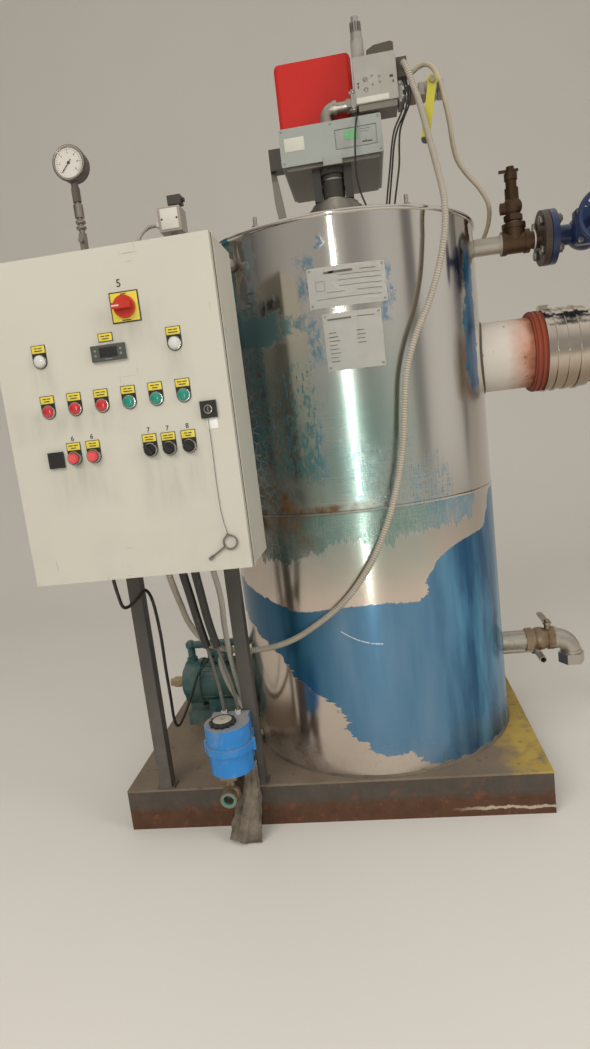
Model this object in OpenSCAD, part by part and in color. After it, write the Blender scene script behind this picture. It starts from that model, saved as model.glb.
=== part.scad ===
// Small vertical boiler on a steel skid, with its control cabinet.
// Lengths are in millimetres, +Z is up, and the control cabinet faces -Y.
// The origin is the axis of the round casing at floor level.

/* [Skid] */
// Length of the skid from left to right
skid_l = 1174; // [1150:2:1240]
// Depth of the skid from front to back
skid_w = 820; // [815:5:900]
// Height of the skid to the top of its plate
skid_h = 120; // [110:2:140]
// Thickness of the plate on top of the skid
skid_plate_t = 6; // [4:1:10]
// Width of the flanges of the skid's channels
channel_flange = 50; // [40:2:60]
// Thickness of the channels' webs and flanges
channel_t = 6; // [5:0.5:8]
// Distance from the side of the casing to the right end of the skid
skid_end_gap = 44; // [30:2:60]

/* [Casing] */
// Outer diameter of the casing
casing_d = 800; // [790:2:806]
// Height of the casing from the skid plate to its rim
casing_h = 1464; // [1450:2:1480]
// Height of the horizontal seam above the skid plate
seam_h = 740; // [700:10:780]
// Thickness of the insulated jacket
jacket_t = 45; // [35:1:50]
// Gap between the jacket and the drum inside it
drum_gap = 15; // [5:1:20]
// Diameter of the rolled bead round the rim
rim_bead_d = 12; // [8:1:14]
// Depth of the lid below the rim
lid_depth = 20; // [12:1:30]
// Thickness of the lid plate
lid_t = 8; // [5:1:12]
// Number of studs that hold the lid
lid_studs = 6; // [4:1:8]

/* [Burner] */
// Distance of the blast tube to the right of the casing axis
burner_x = 22; // [10:2:40]
// Distance of the blast tube in front of the casing axis
burner_front = 105; // [90:5:110]
// Diameter of the blast tube
blast_tube_d = 60; // [50:2:70]
// Height of the neck that carries the blast tube above the lid
neck_h = 112; // [100:2:120]
// Diameter of the neck
neck_d = 150; // [130:5:170]
// Height of the underside of the burner above the lid
burner_lift = 215; // [205:1:225]
// Width of the burner body
burner_w = 276; // [270:2:290]
// Depth of the burner body
burner_depth = 300; // [280:5:320]
// Height of the grey burner body
burner_h = 96; // [90:2:100]
// Width of the red hood
hood_w = 212; // [200:2:220]
// Height of the red hood
hood_h = 187; // [170:2:190]
// Radius of the hood's upper corners
hood_corner_r = 14; // [6:1:20]

/* [Gas train] */
// Outer diameter of the gas pipe
gas_pipe_d = 27; // [24:1:30]
// Width of the gas valve block
valve_block_w = 111; // [104:1:118]
// Height of the gas valve block
valve_block_h = 130; // [124:2:136]
// Depth of the gas valve block
valve_block_depth = 80; // [74:2:86]
// Width across the flats of the gas cock
gas_cock_af = 46; // [42:1:50]
// Length of the gas cock's lever
gas_lever_l = 150; // [120:5:180]

/* [Steam outlet] */
// Outer diameter of the steam pipe
steam_pipe_d = 48; // [44:1:50]
// Height of the steam pipe above the floor
steam_z = 1530; // [1510:2:1532]
// Outer diameter of the steam flanges
steam_flange_d = 150; // [146:2:156]
// Thickness of each steam flange
steam_flange_t = 18; // [14:1:22]
// Diameter of the bolt circle of the steam flanges
steam_bolt_circle = 110; // [106:2:114]
// Diameter of the bolt holes in the steam flanges
steam_bolt_hole = 18; // [14:1:20]
// Bore of the steam pipe and of the stop valve
steam_bore = 40; // [34:1:41]
// Length of the stop valve from face to face
stop_valve_l = 200; // [190:5:220]
// Diameter of the stop valve's handwheel
handwheel_d = 140; // [120:5:160]

/* [Flue] */
// Outer diameter of the flue stub
flue_d = 200; // [180:5:210]
// Height of the flue above the floor
flue_z = 1217; // [1200:5:1230]
// Outer diameter of the flue adapter
flue_adapter_d = 237; // [232:1:244]
// Length of the flue adapter
flue_adapter_l = 112; // [100:2:120]
// Outer diameter of the flue tee
flue_tee_d = 230; // [220:2:240]

/* [Drain] */
// Outer diameter of the drain pipe
drain_pipe_d = 60; // [54:1:62]
// Height of the drain pipe above the floor
drain_z = 334; // [325:2:345]
// Length of the drain valve's lever
drain_lever_l = 105; // [80:5:120]

/* [Cabinet] */
// Width of the control cabinet
cabinet_w = 500; // [490:5:520]
// Height of the control cabinet
cabinet_h = 700; // [690:5:720]
// Depth of the control cabinet with its door
cabinet_depth = 200; // [190:5:220]
// Height of the underside of the cabinet above the floor
cabinet_lift = 800; // [790:5:820]
// Distance from the casing axis to the right side of the cabinet
cabinet_side_x = 225; // [215:5:235]
// Distance from the casing axis to the cabinet's door
cabinet_front_y = 690; // [680:5:720]
// Thickness of the cabinet's sheet steel
cabinet_sheet_t = 2; // [1.5:0.5:3]
// Depth of the door pan
door_t = 18; // [16:1:22]
// Width of the square posts that carry the cabinet
post_w = 35; // [30:1:40]

/* [Door fittings] */
// Diameter of the main switch handle
main_handle_d = 46; // [40:1:52]
// Side of the square plate behind the main switch
main_plate_w = 60; // [56:1:64]
// Diameter of the pilot lamps
lamp_d = 29; // [26:0.5:32]
// Diameter of the push-buttons
button_d = 23; // [20:0.5:24]
// Travel of the push-buttons
button_travel = 4; // [3:0.5:5]
// Diameter of the holes behind lamps, buttons and selectors
panel_hole_d = 22.4; // [22:0.1:23]

/* [Instruments] */
// Diameter of the pressure gauge
gauge_d = 80; // [70:2:90]
// Diameter of the feed pump's motor
motor_d = 156; // [140:2:160]
// Width of the blow-down valve's actuator
actuator_w = 124; // [116:2:130]
// Height of the blow-down valve's actuator
actuator_h = 128; // [120:2:134]

/* [Hidden] */

round_fn = 96;
small_fn = 48;
pipe_fn = 64;
// Clearance between pieces of different bodies, and round pieces that only touch
seat_gap = 0.3;
// Radial clearance of a shaft in its own hole
pin_gap = 0.05;
cut = 1;

// Casing, drum and lid
casing_r = casing_d / 2;
casing_base_z = skid_h;
casing_top_z = casing_base_z + casing_h;
seam_z = casing_base_z + seam_h;
jacket_inner_r = casing_r - jacket_t;
drum_r = jacket_inner_r - drum_gap;
lid_top_z = casing_top_z - lid_depth;
lid_bottom_z = lid_top_z - lid_t;
nozzle_end_x = drum_r + drum_gap - 3;
seam_bead_d = 7;
stud_circle_r = casing_r - 23;
stud_d = 10;
stud_h = 30;
stud_turn = 2;
burner_gland_turn = 18;
burner_gland_r = casing_r + 12;
burner_gland_z = 1540;

// Skid
skid_right_x = casing_r + skid_end_gap;
skid_left_x = skid_right_x - skid_l;
skid_front_y = -skid_w / 2;
channel_h = skid_h - skid_plate_t;

// Burner
burner_z = lid_top_z + burner_lift;
burner_left_x = burner_x - 132;
burner_front_y = -burner_front - 50;
burner_top_z = burner_z + burner_h;
burner_base_t = 8;
blast_top_z = burner_z - burner_base_t;
hood_left_x = burner_left_x;
hood_front_y = burner_front_y + 61;
neck_flange_t = 12;
neck_top_z = lid_top_z + neck_h;
gasket_t = 9;

// Gas train
gas_y = -burner_front - 20;
gas_z = burner_top_z + 41;
valve_left_x = hood_left_x + hood_w + 3;
valve_right_x = valve_left_x + valve_block_w;
valve_base_z = burner_top_z + 7;
connector_right_x = valve_right_x + 30;
gas_flange_t = 12;
gas_flange_w = 58;
elbow_x = burner_x;
elbow_bend_r = 22;
cock_x = valve_right_x + 86;
cock_half_l = 31;
cock_ball_r = 26;
lever_plane_gap = 18;
gas_lever_t = 5;
gas_lever_tilt = 12;

// Steam outlet
steam_tee_x = 520;
steam_tee_half = 39;
steam_tee_r = 33;
safety_z = steam_z + 51;
flange_x = 590;
gasket_gap = 2;
valve_x0 = flange_x + steam_flange_t + gasket_gap;
valve_mid_x = valve_x0 + stop_valve_l / 2;
valve_x1 = valve_x0 + stop_valve_l;
bonnet_y = -62;
yoke_y = -150;
handwheel_y = -182;
spindle_d = 14;

// Flue
flue_seal_x = 536;
flue_seal_l = 34;
adapter_x0 = flue_seal_x + flue_seal_l;
adapter_x1 = adapter_x0 + flue_adapter_l;
tee_x = adapter_x1 + 20 + flue_tee_d / 2;
flue_wall = 6;
flue_socket_l = 60;
flue_outlet_y = flue_tee_d / 2 + flue_socket_l;
flue_cap_y = -flue_tee_d / 2 - 38;

// Drain
drain_valve_x0 = 474;
drain_valve_x1 = 562;
drain_bend_r = 50;
drain_wall = 6;
drain_end_z = drain_z - 82;
drain_stem_x = (drain_valve_x0 + drain_valve_x1) / 2 + 26;
drain_lever_z = drain_z + 46;
drain_lever_t = 6;

// Cabinet and its frame
cabinet_right_x = -cabinet_side_x;
cabinet_left_x = cabinet_right_x - cabinet_w;
door_front_y = -cabinet_front_y;
door_back_y = door_front_y + door_t;
door_gap = 1;
box_front_y = door_back_y + door_gap;
box_back_y = door_front_y + cabinet_depth;
cabinet_z0 = cabinet_lift;
cabinet_z1 = cabinet_z0 + cabinet_h;
return_flange = 14;
post_y = skid_front_y + 3 + post_w / 2;
post_left_x = cabinet_left_x + 110;
post_right_x = cabinet_right_x - 120;
post_wall = 3;
post_top_z = cabinet_z1 - 40;
rail_h = 40;
rail_zs = [cabinet_z0 + 90, cabinet_z1 - 110];
rail_depth = 41;
hinge_x = cabinet_left_x - 6;
hinge_y = door_back_y + 1;
hinge_r = 5.5;
hinge_pin_r = 2.5;
hinge_zs = [cabinet_z0 + 90, cabinet_z1 - 90];
knuckle_h = 18;

// Door fittings, measured from the door's lower left corner
main_switch_at = [305, 576];
main_handle_t = 9;
main_grip_h = 17;
plate_t = 2;
lamp_row_h = 383;
lamp_row_x = [100, 161, 222, 283, 343, 403];
top_lamp_at = [[100, 490], [399, 490]];
controller_at = [255, 489];
controller_legend_at = [252, 521];
button_at = [[142, 278], [186, 278]];
selector_at = [[314, 277], [356, 276], [400, 276]];
blank_at = [99, 278];
lock_at = [452, 347];
legend_w = 32;
legend_h = 18;
legend_rise = 25;
lamp_h = 11;
bezel_d = 29.5;
bezel_t = 5;
button_h = 9;
selector_d = 22;
selector_h = 12;
rear_body_w = 28;
rear_body_l = 34;
stem_d = 10;
lock_d = 20;
cam_l = 24;

// Instruments
manifold_y = -casing_r + 50;
manifold_z = casing_top_z - 76;
manifold_x = -250;
instrument_pipe_r = 10;
gauge_x = -622;
gauge_z = manifold_z + 294;
gauge_pipe_r = 7;
switch_x = -382;
switch_z = manifold_z + 92;
pump_y = 60;
pump_z = casing_base_z + 130;
pump_x0 = -casing_r - 268;
pump_head_l = 58;
motor_l = 196;
pump_pipe_r = 13;
blowdown_x = -casing_r - 5;
blowdown_z = skid_h + 25;
blowdown_y = skid_front_y - 68;
blowdown_pipe_r = 13.5;
actuator_x = blowdown_x + 13;
actuator_y = blowdown_y + 3;
actuator_z = 217;
gland_r = 8;
gland_top_z = actuator_z + actuator_h + 11;
gland_xs = [actuator_x - 16, actuator_x + 22];
gland_y = actuator_y + 42;

// Key on its string, measured from the door's lower left corner
key_ring_at = [460, 60];
key_tip_at = [409, 26];
key_ring_r = 15;
key_wire_r = 2;
key_bit_r = key_wire_r + 1.6;
key_y = -key_bit_r - seat_gap;
string_d = 1.6;

// Cables, each as hand-chosen points along its middle
conduit_d = 16;
conduit_route = [
    [236, -143, 1982], [236, -157, 1982], [240, -169, 1968], [247, -175, 1942], [254, -178, 1914],
    [262, -188, 1880], [270, -212, 1820], [278, -256, 1735], [286, -300, 1650], [289, -333, 1585],
    [284, -342, 1515], [262, -352, 1430], [228, -368, 1345], [188, -386, 1268], [160, -398, 1190],
    [147, -403, 1110], [135, -407, 1020], [113, -412, 925], [79, -420, 828], [28, -427, 728],
    [-42, -428, 640], [-123, -418, 576], [-210, -388, 522], [-300, -352, 492], [-385, -345, 494],
    [-444, -375, 530], [-468, -425, 600], [-466, -488, 680], [-460, -540, 740], [-458, -560, 771],
    [-458, -560, 788]];
burner_cable_d = 13;
burner_cable_route = [
    [246, -120, 1972], [260, -120, 1972], [278, -128, 1979], [297, -144, 1974], [312, -159, 1952],
    [322, -165, 1920], [332, -158, 1880], [344, -134, 1830], [352, -106, 1790], [364, -78, 1754],
    [390, -52, 1722], [426, -25, 1688], [455, 5, 1648], [461, 45, 1612], [452, 84, 1578],
    [436, 124, 1553], [410.9, 133.5, 1540], [391.9, 127.35, 1540]];
actuator_cable_d = 9;
sleeve_d = 22;
actuator_route_left = [
    [-408, -433, 356], [-408, -433, 372], [-410, -440, 430], [-414, -455, 500], [-420, -475, 570],
    [-424, -500, 640], [-426, -525, 710], [-428, -545, 766], [-428, -545, 788]];
actuator_route_right = [
    [-370, -433, 356], [-370, -433, 372], [-374, -442, 430], [-384, -460, 500], [-392, -480, 570],
    [-396, -505, 640], [-396, -530, 710], [-396, -550, 766], [-396, -550, 788]];
motor_cable_d = 9;
motor_cable_route = [
    [-600, -560, 788], [-600, -560, 766], [-614, -515, 715], [-622, -480, 680], [-618, -450, 672],
    [-596, -425, 690], [-586, -400, 700], [-582, -370, 660], [-582, -350, 560], [-590, -330, 450],
    [-604, -290, 340], [-622, -240, 250], [-630, -190, 205], [-628, -130, 210], [-616, -60, 250],
    [-596, -22, 305], [-566, 2, 342], [-552, 14, 346], [-552, 28, 346]];
post_conduit_d = 15;
post_conduit_route = [
    [-352, -545, 788], [-352, -545, 766], [-354, -515, 720], [-360, -480, 665], [-372, -440, 600],
    [-380, -400, 520], [-380, -370, 440], [-380, -330, 350], [-392, -260, 280], [-430, -180, 270],
    [-474, -110, 300], [-505, -50, 335], [-518, -5, 345], [-518, 28, 345]];
conduit_gland_at = [conduit_route[30][0], conduit_route[30][1]];

steel_grey = [0.33, 0.33, 0.34];
rust_brown = [0.36, 0.24, 0.18];
stainless = [0.78, 0.77, 0.74];
cast_grey = [0.62, 0.64, 0.62];
signal_red = [0.85, 0.16, 0.12];
valve_blue = [0.12, 0.2, 0.42];
cabinet_beige = [0.79, 0.78, 0.72];
brass_tone = [0.62, 0.5, 0.28];
plastic_black = [0.1, 0.1, 0.11];
legend_yellow = [0.93, 0.85, 0.16];

// Basic forms

module rod_x(r, x0, x1, y, z, fn = pipe_fn) {
    translate([x0, y, z]) rotate([0, 90, 0]) cylinder(r = r, h = x1 - x0, $fn = fn);
}

module rod_y(r, x, y0, y1, z, fn = pipe_fn) {
    translate([x, y1, z]) rotate([90, 0, 0]) cylinder(r = r, h = y1 - y0, $fn = fn);
}

module rod_z(r, x, y, z0, z1, fn = pipe_fn) {
    translate([x, y, z0]) cylinder(r = r, h = z1 - z0, $fn = fn);
}

module hex_x(af, x0, x1, y, z) {
    translate([x0, y, z]) rotate([0, 90, 0]) cylinder(d = af / cos(30), h = x1 - x0, $fn = 6);
}

module hex_z(af, x, y, z0, z1) {
    translate([x, y, z0]) cylinder(d = af / cos(30), h = z1 - z0, $fn = 6);
}

module block(x0, x1, y0, y1, z0, z1) {
    translate([x0, y0, z0]) cube([x1 - x0, y1 - y0, z1 - z0]);
}

// A round bar along X with a round hole through it
module ring_x(r, hole_r, x0, x1, y, z, fn = pipe_fn) {
    difference() {
        rod_x(r, x0, x1, y, z, fn);
        rod_x(hole_r, x0 - cut, x1 + cut, y, z, fn);
    }
}

// An upright ring
module ring_z(r, hole_r, z0, z1, fn = round_fn) {
    translate([0, 0, z0]) linear_extrude(z1 - z0) difference() {
        circle(r = r, $fn = fn);
        circle(r = hole_r, $fn = fn);
    }
}

// A rectangle with round corners, from exact arcs
module round_rect(w, h, r) {
    translate([r, 0]) square([w - 2 * r, h]);
    translate([0, r]) square([w, h - 2 * r]);
    for (x = [r, w - r], y = [r, h - r]) translate([x, y]) circle(r = r, $fn = small_fn);
}

// A quarter bend that starts along +X at the origin and ends along -Z
module bend_down(pipe_r, bend_r) {
    translate([0, 0, -bend_r]) rotate([90, 0, 0])
        rotate_extrude(angle = 90, $fn = pipe_fn) translate([bend_r, 0]) circle(r = pipe_r, $fn = small_fn);
}

// Vector helpers for the cables
function unit(v) = v / norm(v);
function tangent(p, i) = unit(p[min(i + 1, len(p) - 1)] - p[max(i - 1, 0)]);
function ring_point(p, i, a, r, aside) =
    let (t = tangent(p, i), u = unit(cross(t, aside)), v = cross(t, u))
    p[i] + r * cos(a) * u + r * sin(a) * v;

// A round cable swept along the points of its route, with a radius for each point
module cable(route, radii, sides, aside) {
    n = len(route);
    points = [for (i = [0:n - 1], k = [0:sides - 1])
        ring_point(route, i, 360 * k / sides, radii[i], aside)];
    walls = [for (i = [0:n - 2], k = [0:sides - 1])
        let (a = i * sides + k, b = i * sides + (k + 1) % sides) [a, a + sides, b + sides, b]];
    ends = [[for (k = [0:sides - 1]) k], [for (k = [sides - 1:-1:0]) (n - 1) * sides + k]];
    polyhedron(points = points, faces = concat(walls, ends), convexity = 6);
}

function even_radii(route, d) = [for (i = [0:len(route) - 1]) d / 2];
function sleeved_radii(route) =
    [for (i = [0:len(route) - 1]) i < 4 ? actuator_cable_d / 2 : sleeve_d / 2];

// Skid

module channel(length) {
    linear_extrude(length) difference() {
        square([channel_flange, channel_h]);
        translate([channel_t, channel_t]) square([channel_flange, channel_h - 2 * channel_t]);
    }
}

module skid_rails() {
    color(rust_brown) for (side = [0, 1]) mirror([0, side, 0])
        translate([skid_left_x, skid_front_y, 0]) rotate([90, 0, 90]) channel(skid_l);
}

module cross_member(x, flip) {
    span = skid_w - 2 * channel_flange;
    translate([x, skid_front_y + channel_flange, 0]) mirror([flip, 0, 0])
        translate([0, span, 0]) rotate([90, 0, 0]) channel(span);
}

module skid_cross_members() {
    color(rust_brown) {
        cross_member(skid_left_x, 0);
        cross_member(skid_right_x, 1);
        cross_member(-channel_flange / 2, 0);
        cross_member(-casing_r + channel_flange / 2, 0);
    }
}

module skid_plate() {
    color(steel_grey)
        block(skid_left_x, skid_right_x, skid_front_y, -skid_front_y, channel_h, skid_h);
}

// Boiler

module boiler_drum() {
    color(steel_grey) {
        rod_z(drum_r, 0, 0, casing_base_z, lid_bottom_z, round_fn);
        rod_x(steam_pipe_d / 2 + 2, 0, nozzle_end_x, 0, steam_z);
        rod_x(flue_d / 2, 0, nozzle_end_x, 0, flue_z, round_fn);
        rod_x(drain_pipe_d / 2 + 2, 0, nozzle_end_x, 0, drain_z);
    }
}

module jacket_profile(z0, z1) {
    translate([jacket_inner_r, z0]) square([jacket_t, z1 - z0]);
}

module casing_lower() {
    color(stainless) difference() {
        rotate_extrude($fn = round_fn) {
            jacket_profile(casing_base_z, seam_z);
            translate([casing_r - 1, seam_z - seam_bead_d / 2 - 2]) circle(d = seam_bead_d, $fn = small_fn);
        }
        rod_x(drain_pipe_d / 2 + 6, jacket_inner_r - 60, casing_r + 60, 0, drain_z);
        rod_x(15, jacket_inner_r - 100, casing_r + 60, 60, drain_z - 56);
        rod_x(blowdown_pipe_r + 5, -casing_r - 20, -jacket_inner_r + 60, blowdown_turn_y, blowdown_z);
        rod_x(pump_pipe_r + 5, -casing_r - 20, -jacket_inner_r + 60, pump_y, pump_pipe_z);
    }
}

module casing_upper() {
    color(stainless) difference() {
        rotate_extrude($fn = round_fn) {
            jacket_profile(seam_z, casing_top_z - rim_bead_d / 2);
            translate([casing_r - 30, casing_top_z - rim_bead_d]) square([30, rim_bead_d - 1]);
            translate([casing_r, casing_top_z - rim_bead_d / 2]) circle(d = rim_bead_d, $fn = small_fn);
        }
        rod_x(steam_pipe_d / 2 + 6, jacket_inner_r - 60, casing_r + 60, 0, steam_z);
        rod_x(flue_d / 2 + 5, jacket_inner_r - 60, casing_r + 60, 0, flue_z, round_fn);
        rod_y(instrument_pipe_r + 4, manifold_x, -casing_r, -drum_r * 0.5, manifold_z);
    }
    color(stainless) {
        for (i = [0:lid_studs - 1]) lid_stud(stud_turn + i * 360 / lid_studs);
        rotate(burner_gland_turn) rod_x(burner_cable_d / 2 + 4, casing_r - 5, burner_gland_r, 0, burner_gland_z, small_fn);
    }
}

module lid_stud(angle) {
    rotate(angle) {
        rod_z(stud_d / 2, stud_circle_r, 0, casing_top_z - 14, casing_top_z + stud_h, small_fn);
        hex_z(17, stud_circle_r, 0, casing_top_z - 6, casing_top_z + 8);
    }
}

module lid_plate() {
    color(steel_grey) rod_z(jacket_inner_r - seat_gap, 0, 0, lid_bottom_z, lid_top_z, round_fn);
}

// Burner

module burner_neck() {
    color(steel_grey) translate([burner_x, -burner_front, 0]) {
        rod_z(neck_d / 2 + 22, 0, 0, lid_top_z, lid_top_z + neck_flange_t, round_fn);
        rod_z(neck_d / 2, 0, 0, lid_top_z, neck_top_z - neck_flange_t, round_fn);
        rod_z(neck_d / 2 - 10, 0, 0, lid_top_z, neck_top_z, round_fn);
        for (a = [45:90:315]) rotate(a)
            hex_z(17, neck_d / 2 + 11, 0, lid_top_z, lid_top_z + neck_flange_t + 8);
        difference() {
            rod_z(blast_tube_d / 2 + 9, 0, 0, neck_top_z - 1, neck_top_z + gasket_t, round_fn);
            rod_z(blast_tube_d / 2 + seat_gap, 0, 0, neck_top_z, neck_top_z + gasket_t + cut, round_fn);
        }
    }
}

module blast_tube() {
    side_in = blast_tube_d / 2 + 2;
    side_t = 22;
    color(plastic_black) translate([burner_x, -burner_front, 0]) {
        rod_z(blast_tube_d / 2, 0, 0, neck_top_z, blast_top_z, round_fn);
        rod_z(blast_tube_d / 2 + 6, 0, 0, blast_top_z - 18, blast_top_z, round_fn);
        for (s = [-1, 1]) translate([s * (side_in + side_t / 2) - side_t / 2, -20, neck_top_z + gasket_t + 2])
            cube([side_t, 46, blast_top_z - neck_top_z - gasket_t - 2]);
        block(-side_in - 1, side_in + 1, 14, 26, blast_top_z - 52, blast_top_z - 40);
    }
}

module burner_body() {
    x1 = burner_left_x + burner_w;
    y1 = burner_front_y + burner_depth;
    display_x = burner_left_x + 150;
    color(cast_grey) {
        difference() {
            translate([burner_left_x, y1, burner_z]) rotate([90, 0, 0]) linear_extrude(burner_depth)
                round_rect(burner_w, burner_h, 5);
            block(display_x, x1 - 14, burner_front_y - cut, burner_front_y + 3,
                burner_z + 22, burner_z + 72);
        }
        block(burner_left_x + 12, x1 - 12, burner_front_y + 12, y1 - 12, burner_z - burner_base_t, burner_z);
        translate([burner_left_x - 40, burner_front_y + 70, burner_z + 22]) cube([40, 44, 56]);
        sight_stay();
    }
}

// A flat stay from the box at the burner's left side to the rim
module sight_stay() {
    x = burner_left_x - 42;
    z1 = burner_z + 30;
    translate([x, burner_front_y + 98, 0]) rotate([90, 0, 0]) linear_extrude(8)
        polygon([[0, z1], [14, z1], [26, z1 - 90], [36, lid_top_z + 60], [36, lid_top_z],
            [14, lid_top_z], [14, lid_top_z + 60], [2, z1 - 90]]);
}

module burner_hood() {
    depth = burner_depth - 70;
    color(signal_red) intersection() {
        translate([hood_left_x, hood_front_y + depth, burner_top_z]) rotate([90, 0, 0]) linear_extrude(depth)
            difference() {
                translate([0, -hood_corner_r]) round_rect(hood_w, hood_h + hood_corner_r, hood_corner_r);
                translate([-cut, -2 * hood_corner_r]) square([hood_w + 2 * cut, 2 * hood_corner_r]);
            }
        translate([hood_left_x, hood_front_y, burner_top_z - cut]) linear_extrude(hood_h + 2 * cut)
            round_rect(hood_w, depth, hood_corner_r);
    }
}

// Gas train

module gas_flange(x) {
    translate([x, gas_y - gas_flange_w / 2, gas_z - gas_flange_w / 2])
        rotate([90, 0, 90]) linear_extrude(gas_flange_t) round_rect(gas_flange_w, gas_flange_w, 8);
    for (y = [-1, 1], z = [-1, 1])
        hex_x(8, x - 5, x + gas_flange_t, gas_y + y * 21, gas_z + z * 21);
}

module gas_valve_block() {
    y0 = gas_y - valve_block_depth / 2;
    y1 = gas_y + valve_block_depth / 2;
    z1 = valve_base_z + valve_block_h;
    color(cast_grey) {
        translate([valve_left_x, y1, valve_base_z + 16]) rotate([90, 0, 0]) linear_extrude(valve_block_depth)
            round_rect(valve_block_w, valve_block_h - 16, 4);
        block(valve_left_x + 6, valve_right_x - 4, y0 + 4, y1 - 4, valve_base_z, valve_base_z + 17);
        gas_flange(valve_left_x - gas_flange_t);
        mirror_flange_x(valve_right_x);
        block(valve_right_x, connector_right_x, gas_y - 18, gas_y + 34, z1 - 56, z1 - 8);
        translate([valve_left_x + 38, y1, z1]) rotate([90, 0, 0]) linear_extrude(valve_block_depth)
            polygon([[0, 0], [70, 0], [70, 20], [62, 24], [20, 21], [0, 11]]);
    }
}

module mirror_flange_x(x) {
    translate([x, gas_y - gas_flange_w / 2, gas_z - gas_flange_w / 2])
        rotate([90, 0, 90]) linear_extrude(gas_flange_t) round_rect(gas_flange_w, gas_flange_w, 8);
    for (y = [-1, 1], z = [-1, 1])
        hex_x(8, x, x + gas_flange_t + 5, gas_y + y * 21, gas_z + z * 21);
}

module gas_valve_actuator() {
    z0 = valve_base_z + valve_block_h;
    x = valve_left_x + 17;
    color(stainless) {
        rod_z(13, x, gas_y, z0, z0 + 6);
        rod_z(17, x, gas_y, z0 + 6, z0 + 60);
        rod_z(15, x, gas_y, z0 + 60, z0 + 100);
        rod_z(10, x, gas_y, z0 + 100, z0 + 114);
    }
}

module gas_elbow_pipe() {
    x0 = elbow_x + elbow_bend_r;
    x1 = valve_left_x - gas_flange_t;
    z = gas_z;
    color(stainless) {
        rod_x(gas_pipe_d / 2, x0, x1, gas_y, z);
        translate([x0, gas_y, z]) mirror([1, 0, 0]) bend_down(gas_pipe_d / 2 + 3, elbow_bend_r);
        rod_z(gas_pipe_d / 2 + 3, elbow_x, gas_y, burner_top_z, z - elbow_bend_r);
        rod_z(gas_pipe_d / 2 + 7, elbow_x, gas_y, burner_top_z, burner_top_z + 9);
        rod_x(gas_pipe_d / 2 + 6, x0 - 2, x0 + 9, gas_y, z);
        hex_x(34, x1 - 14, x1, gas_y, z);
    }
}

// Half of the gas cock's outline, a barrel with a cone at each side
module cock_body() {
    r = cock_ball_r;
    polygon([[0, -cock_half_l], [r - 4, -cock_half_l], [r - 4, -17], [r, -9], [r, 9], [r - 4, 17],
        [r - 4, cock_half_l], [0, cock_half_l]]);
}

module gas_cock() {
    x0 = valve_right_x + gas_flange_t;
    x1 = cock_x + cock_half_l;
    lever_back_y = gas_y - valve_block_depth / 2 - lever_plane_gap;
    lever_front_y = lever_back_y - gas_lever_t;
    color(brass_tone) difference() {
        union() {
            rod_x(gas_pipe_d / 2, x0, cock_x - cock_half_l, gas_y, gas_z);
            hex_x(gas_cock_af, x0 + 14, x0 + 34, gas_y, gas_z);
            rod_x(gas_cock_af / 2 - 3, x0 + 8, x0 + 14, gas_y, gas_z);
            hex_x(gas_cock_af, cock_x - cock_half_l, cock_x - cock_half_l + 14, gas_y, gas_z);
            hex_x(gas_cock_af, x1 - 14, x1, gas_y, gas_z);
            translate([cock_x, gas_y, gas_z]) rotate([0, 90, 0]) rotate_extrude($fn = pipe_fn) cock_body();
            rod_y(9, cock_x, lever_back_y + seat_gap, gas_y, gas_z);
            rod_y(stem_d / 2, cock_x, lever_front_y - 8, gas_y, gas_z, small_fn);
            rod_y(9, cock_x, lever_front_y - 8, lever_front_y - seat_gap, gas_z, 6);
        }
        rod_x(gas_pipe_d / 2 - 1, x1 - 20, x1 + cut, gas_y, gas_z);
    }
}

module gas_cock_lever() {
    y1 = gas_y - valve_block_depth / 2 - lever_plane_gap;
    y0 = y1 - gas_lever_t;
    color(legend_yellow) difference() {
        translate([cock_x, y1, gas_z]) rotate([90, 0, 0]) linear_extrude(gas_lever_t) rotate(-gas_lever_tilt) {
            circle(r = 14, $fn = small_fn);
            translate([-11, -gas_lever_l + 11]) square([22, gas_lever_l - 11]);
            translate([0, -gas_lever_l + 11]) circle(r = 11, $fn = small_fn);
        }
        rod_y(stem_d / 2 + pin_gap, cock_x, y0 - cut, y1 + cut, gas_z, small_fn);
    }
}

// Steam outlet

module bolt_holes(x0, x1) {
    for (a = [45:90:315])
        rod_x(steam_bolt_hole / 2, x0, x1, steam_bolt_circle / 2 * cos(a),
            steam_z + steam_bolt_circle / 2 * sin(a), small_fn);
}

module steam_pipe() {
    tee0 = steam_tee_x - steam_tee_half;
    tee1 = steam_tee_x + steam_tee_half;
    color(brass_tone) difference() {
        union() {
            rod_x(steam_pipe_d / 2, nozzle_end_x, flange_x, 0, steam_z);
            rod_x(steam_tee_r, tee0, tee0 + 14, 0, steam_z);
            rod_x(steam_tee_r - 3, tee0, tee1, 0, steam_z);
            rod_x(steam_tee_r, tee1 - 14, tee1, 0, steam_z);
            rod_z(steam_tee_r - 3, steam_tee_x, 0, steam_z, safety_z);
            rod_z(steam_tee_r, steam_tee_x, 0, safety_z - 14, safety_z);
            rod_x(steam_flange_d / 2, flange_x, flange_x + steam_flange_t, 0, steam_z, round_fn);
            rod_x(steam_bolt_circle / 2 - steam_bolt_hole / 2 - 2, flange_x, valve_x0, 0, steam_z, round_fn);
        }
        rod_x(steam_bore / 2, nozzle_end_x - cut, valve_x0 + cut, 0, steam_z);
        bolt_holes(flange_x - cut, flange_x + steam_flange_t + cut);
    }
}

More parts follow.
